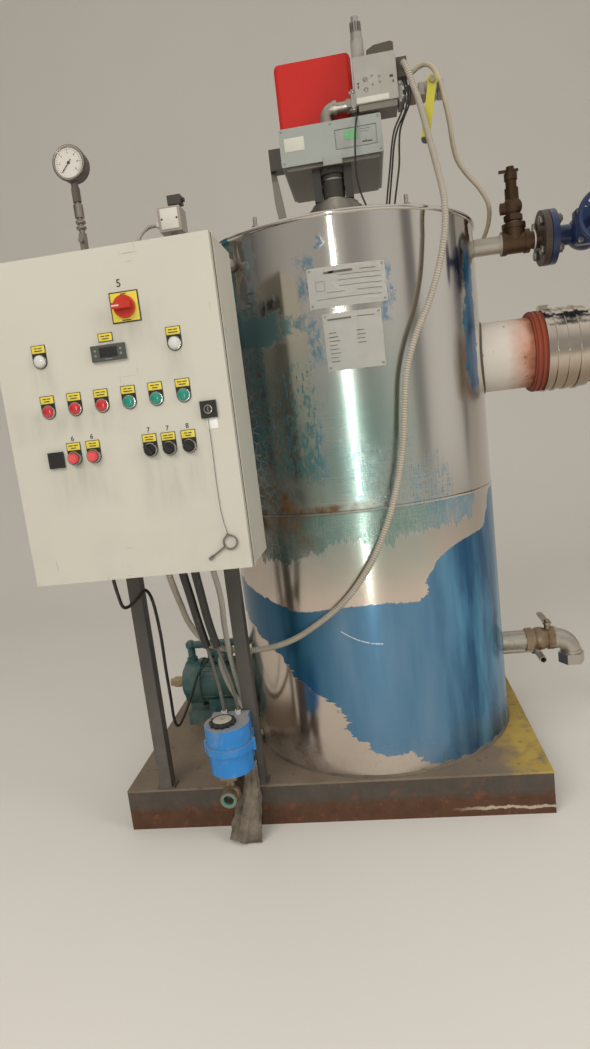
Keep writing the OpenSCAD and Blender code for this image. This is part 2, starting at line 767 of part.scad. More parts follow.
module safety_valve() {
    z = safety_z;
    color(brass_tone) {
        rod_z(20, steam_tee_x, 0, z, z + 8);
        hex_z(46, steam_tee_x, 0, z + 8, z + 24);
        translate([steam_tee_x, 0, z + 46]) sphere(r = 27, $fn = small_fn);
        rod_z(19, steam_tee_x, 0, z + 20, z + 96);
        rod_x(16, steam_tee_x - 34, steam_tee_x, 0, z + 44);
        rod_z(15, steam_tee_x, 0, z + 96, z + 130);
        rod_z(18, steam_tee_x, 0, z + 118, z + 136);
        rod_z(11, steam_tee_x, 0, z + 136, z + 154);
        translate([steam_tee_x - 32, -4, z + 140]) cube([54, 8, 7]);
    }
}

module stop_valve_flange(x0) {
    difference() {
        rod_x(steam_flange_d / 2, x0, x0 + steam_flange_t, 0, steam_z, round_fn);
        bolt_holes(x0 - cut, x0 + steam_flange_t + cut);
    }
}

module stop_valve() {
    color(valve_blue) {
        difference() {
            union() {
                stop_valve_flange(valve_x0);
                stop_valve_flange(valve_x1 - steam_flange_t);
                rod_x(steam_bore / 2 + 8, valve_x0, valve_x1, 0, steam_z);
                translate([valve_mid_x, 0, steam_z]) sphere(r = 48, $fn = pipe_fn);
                rod_y(36, valve_mid_x, bonnet_y, 0, steam_z);
            }
            rod_x(steam_bore / 2, valve_x0 - cut, valve_x0 + 32, 0, steam_z);
            rod_x(steam_bore / 2, valve_x1 - 32, valve_x1 + cut, 0, steam_z);
        }
        translate([valve_mid_x - 47, bonnet_y + 1, steam_z - 47]) rotate([90, 0, 0])
            linear_extrude(26) round_rect(94, 94, 10);
        rod_y(24, valve_mid_x, bonnet_y - 40, bonnet_y, steam_z);
        for (s = [-1, 1]) translate([valve_mid_x + s * 22 - 5, yoke_y, steam_z - 10])
            cube([10, bonnet_y - 20 - yoke_y, 20]);
        translate([valve_mid_x - 27, yoke_y - 12, steam_z - 12]) cube([54, 12, 24]);
        rod_y(spindle_d / 2, valve_mid_x, handwheel_y - 18, bonnet_y, steam_z, small_fn);
        rod_y(12, valve_mid_x, handwheel_y + 8 + seat_gap, yoke_y, steam_z, small_fn);
        rod_y(11, valve_mid_x, handwheel_y - 18, handwheel_y - 8 - seat_gap, steam_z, 6);
        for (x = [-36, 36], z = [-36, 36]) rod_y(7, valve_mid_x + x, bonnet_y - 33, bonnet_y - 20, steam_z + z, 6);
    }
}

module stop_valve_handwheel() {
    rim_r = handwheel_d / 2 - 7;
    color(valve_blue) translate([valve_mid_x, handwheel_y, steam_z]) rotate([90, 0, 0]) {
        rotate_extrude($fn = pipe_fn) translate([rim_r, 0]) circle(r = 7, $fn = 24);
        difference() {
            union() {
                translate([0, 0, -8]) cylinder(r = 15, h = 16, $fn = small_fn);
                for (a = [0:72:288]) rotate(a) translate([0, -5, -3]) cube([rim_r, 10, 6]);
            }
            translate([0, 0, -9]) cylinder(r = spindle_d / 2 + pin_gap, h = 18, $fn = small_fn);
        }
    }
}

// Flue

module flue_stub() {
    color(cast_grey) ring_x(flue_d / 2, flue_d / 2 - flue_wall, nozzle_end_x, adapter_x0 + 30, 0, flue_z, round_fn);
}

module flue_seal() {
    color([0.78, 0.3, 0.18]) difference() {
        union() {
            rod_x(flue_d / 2 + 12, flue_seal_x, adapter_x0, 0, flue_z, round_fn);
            rod_x(flue_d / 2 + 15, flue_seal_x + 6, flue_seal_x + 14, 0, flue_z, round_fn);
            rod_x(flue_d / 2 + 15, flue_seal_x + 20, flue_seal_x + 28, 0, flue_z, round_fn);
        }
        rod_x(flue_d / 2 + seat_gap, flue_seal_x - cut, adapter_x0 + cut, 0, flue_z, round_fn);
    }
}

module flue_adapter() {
    r = flue_adapter_d / 2;
    color(stainless) difference() {
        union() {
            rod_x(r - 4, adapter_x0, adapter_x1, 0, flue_z, round_fn);
            for (x = [adapter_x0, adapter_x0 + 24, adapter_x1 - 26]) rod_x(r, x, x + 7, 0, flue_z, round_fn);
            rod_x(r - 1, adapter_x0 + 54, adapter_x0 + 66, 0, flue_z, round_fn);
            translate([adapter_x0 + 2, -14, flue_z + r - 3]) cube([26, 28, 12]);
        }
        rod_x(flue_d / 2 + seat_gap, adapter_x0 - cut, adapter_x1 + cut, 0, flue_z, round_fn);
    }
}

// A tee whose branch meets the adapter, with an inspection cap in front and its outlet at the back
module flue_tee() {
    r = flue_tee_d / 2;
    front_y = -r - 14;
    color(stainless) difference() {
        union() {
            rod_y(r, tee_x, front_y, flue_outlet_y, flue_z, round_fn);
            rod_x(r - 14, adapter_x1, tee_x, 0, flue_z, round_fn);
            rod_x(r - 2, adapter_x1, adapter_x1 + 8, 0, flue_z, round_fn);
            rod_y(r + 4, tee_x, flue_outlet_y - 10, flue_outlet_y, flue_z, round_fn);
            rod_y(r + 4, tee_x, front_y, front_y + 10, flue_z, round_fn);
            rod_y(r - 16, tee_x, flue_cap_y, 0, flue_z, round_fn);
            rod_y(r - 11, tee_x, flue_cap_y, flue_cap_y + 9, flue_z, round_fn);
            rod_y(5, tee_x, flue_cap_y - 26, flue_cap_y + 6, flue_z, small_fn);
            rod_y(11, tee_x, flue_cap_y - 34, flue_cap_y - 24, flue_z, small_fn);
        }
        rod_y(flue_d / 2, tee_x, front_y + 4, flue_outlet_y - 20, flue_z, round_fn);
        rod_x(flue_d / 2 - 8, adapter_x1 - cut, tee_x, 0, flue_z, round_fn);
        rod_y(flue_d / 2 + 1, tee_x, flue_outlet_y - flue_socket_l, flue_outlet_y + cut, flue_z, round_fn);
        difference() {
            rod_y(r - 26, tee_x, flue_cap_y - cut, flue_cap_y + 5, flue_z, round_fn);
            rod_y(16, tee_x, flue_cap_y - 2 * cut, flue_cap_y + 6, flue_z, small_fn);
        }
    }
}

// Drain

module drain_pipework() {
    x = drain_valve_x1 + drain_bend_r;
    y = 60;
    z = drain_z - 56;
    color([0.6, 0.58, 0.52]) {
        ring_x(drain_pipe_d / 2, drain_pipe_d / 2 - drain_wall, nozzle_end_x, drain_valve_x0, 0, drain_z);
        difference() {
            union() {
                translate([drain_valve_x1, 0, drain_z]) bend_down(drain_pipe_d / 2, drain_bend_r);
                rod_x(drain_pipe_d / 2 + 4, drain_valve_x1, drain_valve_x1 + 8, 0, drain_z);
                hex_z(drain_pipe_d + 8, x, 0, drain_end_z, drain_z - drain_bend_r);
                rod_z(drain_pipe_d / 2 + 2, x, 0, drain_z - drain_bend_r, drain_z - drain_bend_r + 10);
            }
            rod_z(drain_pipe_d / 2 - drain_wall, x, 0, drain_end_z - cut, drain_z - drain_bend_r);
        }
        difference() {
            union() {
                rod_x(11, drum_r - 20, 518, y, z);
                rod_z(14, 518, y, z - 14, z + 14);
                rod_y(10.5, 518, -40, y, z);
            }
            rod_y(8, 518, -40 - cut, y - 30, z);
            rod_z(drum_r + seat_gap, 0, 0, z - 20, z + 20, round_fn);
        }
    }
}

module drain_valve() {
    mid = (drain_valve_x0 + drain_valve_x1) / 2;
    color([0.5, 0.42, 0.34]) {
        hex_x(drain_pipe_d + 6, drain_valve_x0, drain_valve_x0 + 20, 0, drain_z);
        rod_x(drain_pipe_d / 2 + 2, drain_valve_x0 + 20, drain_valve_x1 - 20, 0, drain_z);
        hex_x(drain_pipe_d + 6, drain_valve_x1 - 20, drain_valve_x1, 0, drain_z);
        translate([mid, 0, drain_z]) sphere(r = drain_pipe_d / 2 + 6, $fn = small_fn);
        rod_z(10, drain_stem_x, 0, drain_z, drain_lever_z - seat_gap);
        rod_z(stem_d / 2, drain_stem_x, 0, drain_z + 39, drain_lever_z + 14, small_fn);
        rod_z(9, drain_stem_x, 0, drain_lever_z + drain_lever_t + seat_gap, drain_lever_z + 14, 6);
    }
}

module drain_valve_lever() {
    color(steel_grey) difference() {
        translate([drain_stem_x, 0, drain_lever_z]) linear_extrude(drain_lever_t) {
            circle(r = 13, $fn = small_fn);
            translate([-9, 0]) square([18, drain_lever_l - 9]);
            translate([0, drain_lever_l - 9]) circle(r = 9, $fn = small_fn);
        }
        rod_z(stem_d / 2 + pin_gap, drain_stem_x, 0, drain_lever_z - cut, drain_lever_z + 7, small_fn);
    }
}

// Cabinet frame

module square_tube(x, y, z0, z1) {
    translate([x - post_w / 2, y - post_w / 2, z0]) linear_extrude(z1 - z0) difference() {
        square([post_w, post_w]);
        translate([post_wall, post_wall]) square(post_w - 2 * post_wall);
    }
}

module cabinet_posts() {
    color(steel_grey) for (x = [post_left_x, post_right_x]) {
        translate([0, 0, skid_h]) block(x - post_w / 2 - 8, x + post_w / 2 + 8,
            post_y - post_w / 2, post_y + post_w / 2 + 8, 0, 5);
        square_tube(x, post_y, skid_h + 5, post_top_z);
        translate([0, 0, post_top_z]) block(x - post_w / 2, x + post_w / 2,
            post_y - post_w / 2, post_y + post_w / 2, 0, 2);
    }
}

module cabinet_rails() {
    front = post_y - post_w / 2;
    color(steel_grey) for (z = rail_zs) {
        block(cabinet_left_x + 25, cabinet_right_x - 25, box_back_y, box_back_y + rail_depth, z, z + rail_h);
        for (x = [post_left_x, post_right_x])
            block(x - 20, x + 20, box_back_y + rail_depth + seat_gap, front, z, z + rail_h);
    }
}

// Cabinet

module cabinet_box() {
    t = cabinet_sheet_t;
    color(cabinet_beige) {
        difference() {
            block(cabinet_left_x, cabinet_right_x, box_front_y, box_back_y, cabinet_z0, cabinet_z1);
            block(cabinet_left_x + t, cabinet_right_x - t, box_front_y + t, box_back_y - t,
                cabinet_z0 + t, cabinet_z1 - t);
            block(cabinet_left_x + return_flange, cabinet_right_x - return_flange, box_front_y - cut,
                box_front_y + t + cut, cabinet_z0 + return_flange, cabinet_z1 - return_flange);
        }
        for (z = hinge_zs) hinge_fixed_half(z);
        cabinet_glands();
    }
}

module hinge_fixed_half(z) {
    rod_z(hinge_r, hinge_x, hinge_y, z - knuckle_h, z, small_fn);
    rod_z(hinge_pin_r, hinge_x, hinge_y, z, z + knuckle_h, small_fn);
    block(hinge_x, cabinet_left_x, hinge_y + 2, hinge_y + 5.2, z - knuckle_h, z);
}

module cabinet_glands() {
    for (at = gland_points) rod_z(at[2], at[0], at[1], cabinet_z0 - 12, cabinet_z0, small_fn);
}

module mounting_plate() {
    y1 = box_back_y - cabinet_sheet_t;
    color([0.72, 0.72, 0.7]) {
        block(cabinet_left_x + 30, cabinet_right_x - 30, y1 - 12, y1 - 10, cabinet_z0 + 30, cabinet_z1 - 30);
        for (x = [cabinet_left_x + 45, cabinet_right_x - 45], z = [cabinet_z0 + 45, cabinet_z1 - 45])
            rod_y(6, x, y1 - 10, y1, z, small_fn);
    }
}

// Door and what it carries

module at_door(at) {
    translate([cabinet_left_x + at[0], door_front_y, cabinet_z0 + at[1]]) children();
}

// A round bar that stands out of the door's face, from y0 to y1 behind it
module door_rod(r, y0, y1, fn = small_fn) {
    rod_y(r, 0, y0, y1, 0, fn);
}

function panel_holes() = concat(
    [for (x = lamp_row_x) [x, lamp_row_h]], top_lamp_at, button_at, selector_at, [main_switch_at, lock_at]);

module cabinet_door() {
    t = cabinet_sheet_t;
    color(cabinet_beige) difference() {
        union() {
            difference() {
                block(cabinet_left_x, cabinet_right_x, door_front_y, door_back_y, cabinet_z0, cabinet_z1);
                block(cabinet_left_x + t, cabinet_right_x - t, door_front_y + t, door_back_y + cut,
                    cabinet_z0 + t, cabinet_z1 - t);
            }
            for (z = hinge_zs) {
                rod_z(hinge_r, hinge_x, hinge_y, z + seat_gap, z + knuckle_h, small_fn);
                block(hinge_x, cabinet_left_x + t, hinge_y - 5.2, hinge_y - 2, z + seat_gap, z + knuckle_h);
            }
        }
        for (z = hinge_zs)
            rod_z(hinge_pin_r + pin_gap, hinge_x, hinge_y, z - cut, z + knuckle_h + cut, small_fn);
        for (at = panel_holes()) at_door(at) door_rod(panel_hole_d / 2, -cut, t + cut);
        at_door(controller_at) translate([-35, -cut, -14]) cube([70, t + 2 * cut, 28]);
    }
}

module legend_plate(at) {
    at_door(at) translate([-legend_w / 2, -plate_t, -legend_h / 2]) cube([legend_w, plate_t, legend_h]);
}

module legend_plates() {
    color(legend_yellow) {
        difference() {
            at_door(main_switch_at) translate([-main_plate_w / 2, -plate_t, -main_plate_w / 2])
                cube([main_plate_w, plate_t, main_plate_w]);
            at_door(main_switch_at) door_rod(stem_d / 2 + 1, -plate_t - cut, cut);
        }
        for (x = lamp_row_x) legend_plate([x, lamp_row_h + legend_rise]);
        for (at = concat(top_lamp_at, button_at, selector_at)) legend_plate([at[0], at[1] + legend_rise]);
        legend_plate(controller_legend_at);
    }
}

module main_switch_handle() {
    color(signal_red) at_door(main_switch_at) {
        door_rod(main_handle_d / 2, -plate_t - 0.5 - main_handle_t, -plate_t - 0.5);
        door_rod(stem_d / 2, -plate_t - 1, cabinet_sheet_t + 4);
        translate([-main_handle_d / 2 + 3, -plate_t - main_handle_t - main_grip_h, -6])
            cube([main_handle_d - 8, main_grip_h, 12]);
    }
}

module panel_controller() {
    color(plastic_black) at_door(controller_at) {
        translate([-37.5, -7, -16.5]) cube([75, 7, 33]);
        translate([-34.5, 0, -13.5]) cube([69, 52, 27]);
    }
}

module pilot_lamp(at) {
    at_door(at) {
        door_rod(lamp_d / 2, -4, 0);
        door_rod(lamp_d / 2 - 3, -lamp_h, -4);
        door_rod(lamp_d / 2 - 6, -lamp_h - 3, -lamp_h);
        door_rod(panel_hole_d / 2 - seat_gap, 0, cabinet_sheet_t);
        door_rod(lamp_d / 2 - 1, cabinet_sheet_t, cabinet_sheet_t + 6);
        translate([-rear_body_w / 2, cabinet_sheet_t + 6, -rear_body_w / 2])
            cube([rear_body_w, rear_body_l, rear_body_w]);
    }
}

module pilot_lamps() {
    color([0.8, 0.8, 0.78]) {
        for (x = lamp_row_x) pilot_lamp([x, lamp_row_h]);
        for (at = top_lamp_at) pilot_lamp(at);
    }
}

// A panel collar with its body behind the door, bored for the moving piece in front
module switch_collar(at, travel) {
    hole_r = travel > 0 ? button_d / 2 + pin_gap : stem_d / 2 + pin_gap;
    hole_end = travel > 0 ? 0 : cabinet_sheet_t + 5;
    at_door(at) {
        difference() {
            union() {
                door_rod(bezel_d / 2, -bezel_t, 0);
                door_rod(panel_hole_d / 2 - seat_gap, 0, cabinet_sheet_t);
                door_rod(bezel_d / 2 - 1, cabinet_sheet_t, cabinet_sheet_t + 6);
            }
            door_rod(hole_r, -bezel_t - cut, hole_end);
        }
        translate([-rear_body_w / 2, cabinet_sheet_t + 6, -rear_body_w / 2])
            cube([rear_body_w, rear_body_l, rear_body_w]);
    }
}

module switch_bodies() {
    color(plastic_black) {
        for (at = button_at) switch_collar(at, button_travel);
        for (at = selector_at) switch_collar(at, 0);
        at_door(blank_at) translate([-17.5, -6, -17.5]) cube([35, 6, 35]);
        difference() {
            union() {
                at_door(lock_at) translate([-17.5, -6, -18]) cube([35, 6, 36]);
                at_door(lock_at) door_rod(panel_hole_d / 2 - seat_gap, -1, cabinet_sheet_t + 6);
            }
            at_door(lock_at) door_rod(lock_d / 2 - 3 + pin_gap, -7, cabinet_sheet_t + 7);
        }
        at_door(main_switch_at) difference() {
            translate([-24, cabinet_sheet_t, -24]) cube([48, 47, 48]);
            door_rod(stem_d / 2 + pin_gap, cabinet_sheet_t - cut, cabinet_sheet_t + 8);
        }
    }
}

module push_button(at) {
    color(signal_red) at_door(at) {
        door_rod(button_d / 2, -bezel_t - button_h, -bezel_t + 0.4);
        door_rod(button_d / 2 - 3, -bezel_t - button_h - 1.5, -bezel_t - button_h);
    }
}

module selector(at) {
    color(plastic_black) at_door(at) {
        door_rod(selector_d / 2, -bezel_t - 0.5 - 4, -bezel_t - 0.5);
        door_rod(stem_d / 2, -bezel_t - 1, cabinet_sheet_t + 4);
        rotate([0, -45, 0]) translate([-3.5, -bezel_t - selector_h - 1, -selector_d / 2 + 1])
            cube([7, selector_h - 3, selector_d + 1]);
    }
}

module door_lock() {
    color([0.45, 0.45, 0.46]) at_door(lock_at) {
        door_rod(lock_d / 2, -9, -6.5);
        door_rod(lock_d / 2 - 3, -7, cabinet_sheet_t + 12);
        translate([-6, cabinet_sheet_t + 9, -cam_l]) cube([12, 3, cam_l]);
    }
}

module key_string() {
    x = lock_at[0] - 4;
    route = [
        [x, -3.6, lock_at[1] - 18.3], [x, -3.6, lock_at[1] - 40], [x, -3.2, 270], [x - 1, -2.8, 220],
        [x - 1, -2.8, 170], [x, -3, 130], [x + 3, -3.6, 105], [key_ring_at[0] - 4, key_y, key_ring_at[1] + 20.4]];
    color([0.85, 0.85, 0.82]) at_door([0, 0]) cable(route, even_radii(route, string_d), 8, [0, 1, 0]);
}

module door_key() {
    span = [key_tip_at[0] - key_ring_at[0], key_tip_at[1] - key_ring_at[1]];
    angle = atan2(span[1], span[0]);
    shank = norm(span);
    color([0.5, 0.5, 0.5]) at_door(key_ring_at) {
        translate([0, key_y, 0]) rotate([90, 0, 0]) {
            rotate_extrude($fn = small_fn) translate([key_ring_r, 0]) circle(r = key_wire_r, $fn = 16);
            rotate(angle) translate([key_ring_r, 0, 0]) rotate([0, 90, 0])
                cylinder(r = key_wire_r, h = shank - key_ring_r - 4, $fn = 24);
            rotate(angle) translate([shank - 12, 0, 0]) rotate([0, 90, 0])
                cylinder(r = key_bit_r, h = 12, $fn = 24);
        }
        translate([key_string_x, key_y, key_ring_r + 2]) sphere(r = 3.2, $fn = 24);
    }
}

// Instruments

module instrument_pipe() {
    color([0.5, 0.48, 0.44]) difference() {
        union() {
            rod_x(instrument_pipe_r, gauge_x, manifold_x, manifold_y, manifold_z);
            translate([gauge_x, manifold_y, manifold_z]) sphere(r = instrument_pipe_r + 3, $fn = small_fn);
            translate([manifold_x, manifold_y, manifold_z]) sphere(r = instrument_pipe_r + 3, $fn = small_fn);
            rod_y(instrument_pipe_r, manifold_x, manifold_y, -200, manifold_z);
            rod_z(gauge_pipe_r, gauge_x, manifold_y, manifold_z, gauge_z - 90);
            rod_z(11, gauge_x, manifold_y, manifold_z + 86, manifold_z + 128, 6);
            rod_y(6, gauge_x, manifold_y - 22, manifold_y, manifold_z + 108, small_fn);
            rod_z(12, gauge_x, manifold_y, gauge_z - 128, gauge_z - 96);
            for (z = [manifold_z + 142, manifold_z + 156]) ring_coil(gauge_x, z);
            rod_z(gauge_pipe_r, switch_x, manifold_y, manifold_z, switch_z);
        }
        rod_z(drum_r + seat_gap, 0, 0, manifold_z - 40, manifold_z + 40, round_fn);
    }
}

module ring_coil(x, z) {
    translate([x, manifold_y, z]) rotate_extrude($fn = small_fn) translate([8, 0]) circle(r = 5, $fn = 24);
}

module pressure_gauge() {
    color(steel_grey) translate([gauge_x, manifold_y, gauge_z]) {
        difference() {
            rod_y(gauge_d / 2, 0, -18, 20, 0, round_fn);
            rod_y(gauge_d / 2 - 4, 0, -19, -10, 0, round_fn);
        }
        rod_y(gauge_d / 2 + 3, 0, -16, -10, 0, round_fn);
        rod_z(9, 0, 0, -gauge_d / 2 - 16, -gauge_d / 2 + 6, small_fn);
        hex_z(20, 0, 0, -90, -gauge_d / 2 - 16);
        rotate([0, 25, 0]) translate([-1, -12, -8]) cube([2, 2, gauge_d / 2]);
        rod_y(4, 0, -13, -10, 0, small_fn);
    }
}

module pressure_switch() {
    color([0.66, 0.63, 0.6]) translate([switch_x, manifold_y, switch_z]) {
        translate([-28, -30, 0]) cube([56, 60, 58]);
        translate([-32, -20, 4]) cube([4, 40, 50]);
        rod_z(11, 8, 0, 58, 74, small_fn);
        translate([-4, -14, 66]) cube([34, 28, 22]);
    }
}

// Feed pump

pump_pipe_z = pump_z + 130;
blowdown_turn_y = -150;
gland_points = [
    [conduit_gland_at[0], conduit_gland_at[1], conduit_d / 2 + 3],
    [actuator_route_left[8][0], actuator_route_left[8][1], sleeve_d / 2 + 2],
    [actuator_route_right[8][0], actuator_route_right[8][1], sleeve_d / 2 + 2],
    [motor_cable_route[0][0], motor_cable_route[0][1], motor_cable_d / 2 + 4],
    [post_conduit_route[0][0], post_conduit_route[0][1], post_conduit_d / 2 + 3]];
key_string_x = -4;

module pump_motor() {
    x0 = pump_x0 + pump_head_l;
    x1 = x0 + motor_l;
    r = motor_d / 2;
    color([0.1, 0.22, 0.22]) {
        rod_x(r - 6, x0, x1 - 42, pump_y, pump_z, round_fn);
        rod_x(r, x1 - 42, x1, pump_y, pump_z, round_fn);
        rod_x(r, x0, x0 + 12, pump_y, pump_z, round_fn);
        for (a = [30:15:150], s = [0, 180]) translate([x0 + 12, pump_y, pump_z]) rotate([a + s - 90, 0, 0])
            translate([-2, -1.5, r - 9]) cube([motor_l - 50, 3, 6]);
        translate([x0 + 40, pump_y - 32, pump_z + r - 4]) cube([74, 64, 38]);
        for (s = [-1, 1]) translate([x0 + 30, pump_y + s * 50 - 12, skid_h + 48]) cube([90, 24, 34]);
    }
}

module feed_pump() {
    r = motor_d / 2 - 4;
    x1 = pump_x0 + pump_head_l;
    top = pump_pipe_z;
    color([0.08, 0.36, 0.38]) difference() {
        union() {
            rod_x(r, pump_x0 + 12, x1, pump_y, pump_z, round_fn);
            rod_x(r - 22, pump_x0, pump_x0 + 12, pump_y, pump_z, round_fn);
            block(pump_x0 + 14, x1 + motor_l - 20, pump_y - 70, pump_y + 70, skid_h, skid_h + 48);
            block(pump_x0 + 14, x1, pump_y - 30, pump_y + 30, skid_h + 48, pump_z);
            rod_z(pump_pipe_r + 5, pump_x0 + 34, pump_y, pump_z, pump_z + r + 12);
            rod_z(pump_pipe_r, pump_x0 + 34, pump_y, pump_z, top);
            translate([pump_x0 + 34, pump_y, top]) sphere(r = pump_pipe_r + 5, $fn = small_fn);
            rod_x(pump_pipe_r, pump_x0 + 34, -drum_r + 10, pump_y, top);
            rod_x(pump_pipe_r + 4, pump_x0 - 26, pump_x0, pump_y, pump_z);
            hex_x(34, pump_x0 - 40, pump_x0 - 20, pump_y, pump_z);
            rod_x(pump_pipe_r, pump_x0 - 54, pump_x0 - 30, pump_y, pump_z);
        }
        rod_z(drum_r + seat_gap, 0, 0, top - 40, top + 40, round_fn);
        rod_x(pump_pipe_r - 3, pump_x0 - 54 - cut, pump_x0 - 34, pump_y, pump_z);
    }
}

// Blow-down

module blowdown_pipe() {
    r = blowdown_pipe_r;
    turn = 40;
    color([0.42, 0.4, 0.36]) difference() {
        union() {
            rod_y(r, blowdown_x, blowdown_y + 46, blowdown_turn_y - turn, blowdown_z);
            translate([blowdown_x + turn, blowdown_turn_y - turn, blowdown_z]) rotate([0, 0, 90])
                rotate_extrude(angle = 90, $fn = pipe_fn) translate([turn, 0]) circle(r = r, $fn = small_fn);
            rod_x(r, blowdown_x + turn, -drum_r + 100, blowdown_turn_y, blowdown_z);
        }
        rod_z(drum_r + seat_gap, 0, 0, skid_h, blowdown_z + 60, round_fn);
    }
}

module blowdown_valve() {
    z = blowdown_z;
    color([0.6, 0.58, 0.52]) difference() {
        union() {
            rod_y(19, blowdown_x, blowdown_y - 42, blowdown_y + 46, z);
            rod_y(22, blowdown_x, blowdown_y - 42, blowdown_y - 24, z);
            rod_y(22, blowdown_x, blowdown_y + 28, blowdown_y + 46, z);
            translate([blowdown_x, blowdown_y, z]) sphere(r = 25, $fn = small_fn);
            rod_z(12, blowdown_x, blowdown_y, z, actuator_z);
            block(blowdown_x - 22, blowdown_x + 22, blowdown_y - 18, blowdown_y + 18, actuator_z - 30, actuator_z - 22);
            for (s = [-1, 1]) block(blowdown_x + s * 20 - 3, blowdown_x + s * 20 + 3,
                blowdown_y - 14, blowdown_y + 14, actuator_z - 30, actuator_z);
        }
        rod_y(14, blowdown_x, blowdown_y - 42 - cut, blowdown_y - 12, z);
    }
}

module actuator_outline(inset) {
    w = actuator_w - 2 * inset;
    translate([actuator_x, actuator_y - 4]) circle(d = w, $fn = round_fn);
    translate([actuator_x - w * 0.42, actuator_y - 4]) square([w * 0.84, 66 - inset]);
}

module blowdown_actuator() {
    mid = actuator_z + actuator_h * 0.52;
    color([0.12, 0.5, 0.85]) {
        translate([0, 0, actuator_z]) linear_extrude(mid - actuator_z) actuator_outline(4);
        translate([0, 0, mid - 10]) linear_extrude(20) actuator_outline(-2);
        translate([0, 0, mid]) linear_extrude(actuator_z + actuator_h - mid) actuator_outline(2);
        for (s = [-1, 1]) rod_z(7, actuator_x + s * (actuator_w / 2 + 1), actuator_y - 4, mid - 18, mid + 14, small_fn);
        rod_z(31, actuator_x - 8, actuator_y - 14, actuator_z + actuator_h, actuator_z + actuator_h + 12);
        for (x = gland_xs) rod_z(gland_r, x, gland_y, actuator_z + actuator_h, gland_top_z, small_fn);
    }
}

module blowdown_hose() {
    x = actuator_x + 40;
    y = actuator_y + 20;
    hose = [[x, y, actuator_z], [x, y, actuator_z - 22], [x - 2, y - 5, 145], [x - 8, y - 13, 105],
        [x - 18, y - 21, 70], [x - 26, y - 27, 40], [x - 30, y - 29, 18], [x - 30, y - 29, 1]];
    color([0.45, 0.43, 0.4]) cable(hose, [17, 19, 20, 22, 24, 26, 27, 28], 12, [1, 0, 0]);
}

// Cables

module flexible_conduit() {
    color([0.8, 0.78, 0.7]) cable(conduit_route, even_radii(conduit_route, conduit_d), 8, [0, 1, 0.2]);
}

module burner_cable() {
    color([0.78, 0.74, 0.66])
        cable(burner_cable_route, even_radii(burner_cable_route, burner_cable_d), 8, [0, 1, 0.2]);
}

module actuator_cables() {
    color([0.25, 0.25, 0.25]) for (route = [actuator_route_left, actuator_route_right])
        cable(route, sleeved_radii(route), 8, [1, 0, 0]);
}

module motor_cable() {
    color(plastic_black) cable(motor_cable_route, even_radii(motor_cable_route, motor_cable_d), 8, [1, 0.1, 0]);
}

module post_conduit() {
    color([0.75, 0.73, 0.68]) cable(post_conduit_route, even_radii(post_conduit_route, post_conduit_d), 8, [1, 0.1, 0]);
}

skid_rails();
skid_cross_members();
skid_plate();
boiler_drum();
casing_lower();
casing_upper();
lid_plate();
burner_neck();
blast_tube();
burner_body();
burner_hood();
gas_valve_block();
gas_valve_actuator();
gas_elbow_pipe();
gas_cock();
gas_cock_lever();
steam_pipe();
safety_valve();
stop_valve();
stop_valve_handwheel();
flue_stub();
flue_seal();
flue_adapter();
flue_tee();
drain_pipework();
drain_valve();
drain_valve_lever();
cabinet_posts();
cabinet_rails();
cabinet_box();
mounting_plate();
instrument_pipe();
pressure_gauge();
pressure_switch();
pump_motor();
feed_pump();
blowdown_pipe();
blowdown_valve();
blowdown_actuator();
blowdown_hose();
cabinet_door();
legend_plates();
main_switch_handle();
panel_controller();
pilot_lamps();
switch_bodies();
push_button(button_at[0]);  // push_button_left
push_button(button_at[1]);  // push_button_right
selector(selector_at[0]);  // selector_left
selector(selector_at[1]);  // selector_middle
selector(selector_at[2]);  // selector_right
door_lock();
key_string();
door_key();
flexible_conduit();
burner_cable();
actuator_cables();
motor_cable();
post_conduit();
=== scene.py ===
import math

import bmesh
import bpy
from mathutils import Matrix, Vector


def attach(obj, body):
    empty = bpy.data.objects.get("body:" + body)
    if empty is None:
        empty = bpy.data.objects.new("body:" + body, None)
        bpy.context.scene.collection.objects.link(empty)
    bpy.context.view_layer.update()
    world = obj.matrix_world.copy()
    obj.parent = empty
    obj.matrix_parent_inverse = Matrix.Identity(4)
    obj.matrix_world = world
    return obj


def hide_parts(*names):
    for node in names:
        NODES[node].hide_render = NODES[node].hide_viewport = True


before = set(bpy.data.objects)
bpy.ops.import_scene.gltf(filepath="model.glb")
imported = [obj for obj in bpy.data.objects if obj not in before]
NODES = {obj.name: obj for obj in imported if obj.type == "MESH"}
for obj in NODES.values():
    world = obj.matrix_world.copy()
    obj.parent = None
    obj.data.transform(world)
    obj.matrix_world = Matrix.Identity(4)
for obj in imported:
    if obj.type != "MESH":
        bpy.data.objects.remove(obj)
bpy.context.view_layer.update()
scene = bpy.context.scene

# Camera

CAMERA_AT = Vector((0.0637, -2.0722, 1.1025))
CAMERA_YAW = -0.13264
CAMERA_PITCH = -0.15553
CAMERA_ROLL = 0.12021
FOCAL_PX = 659.9
PHOTO_H = 1049
SENSOR_MM = 36
NEAR_CLIP = 0.05


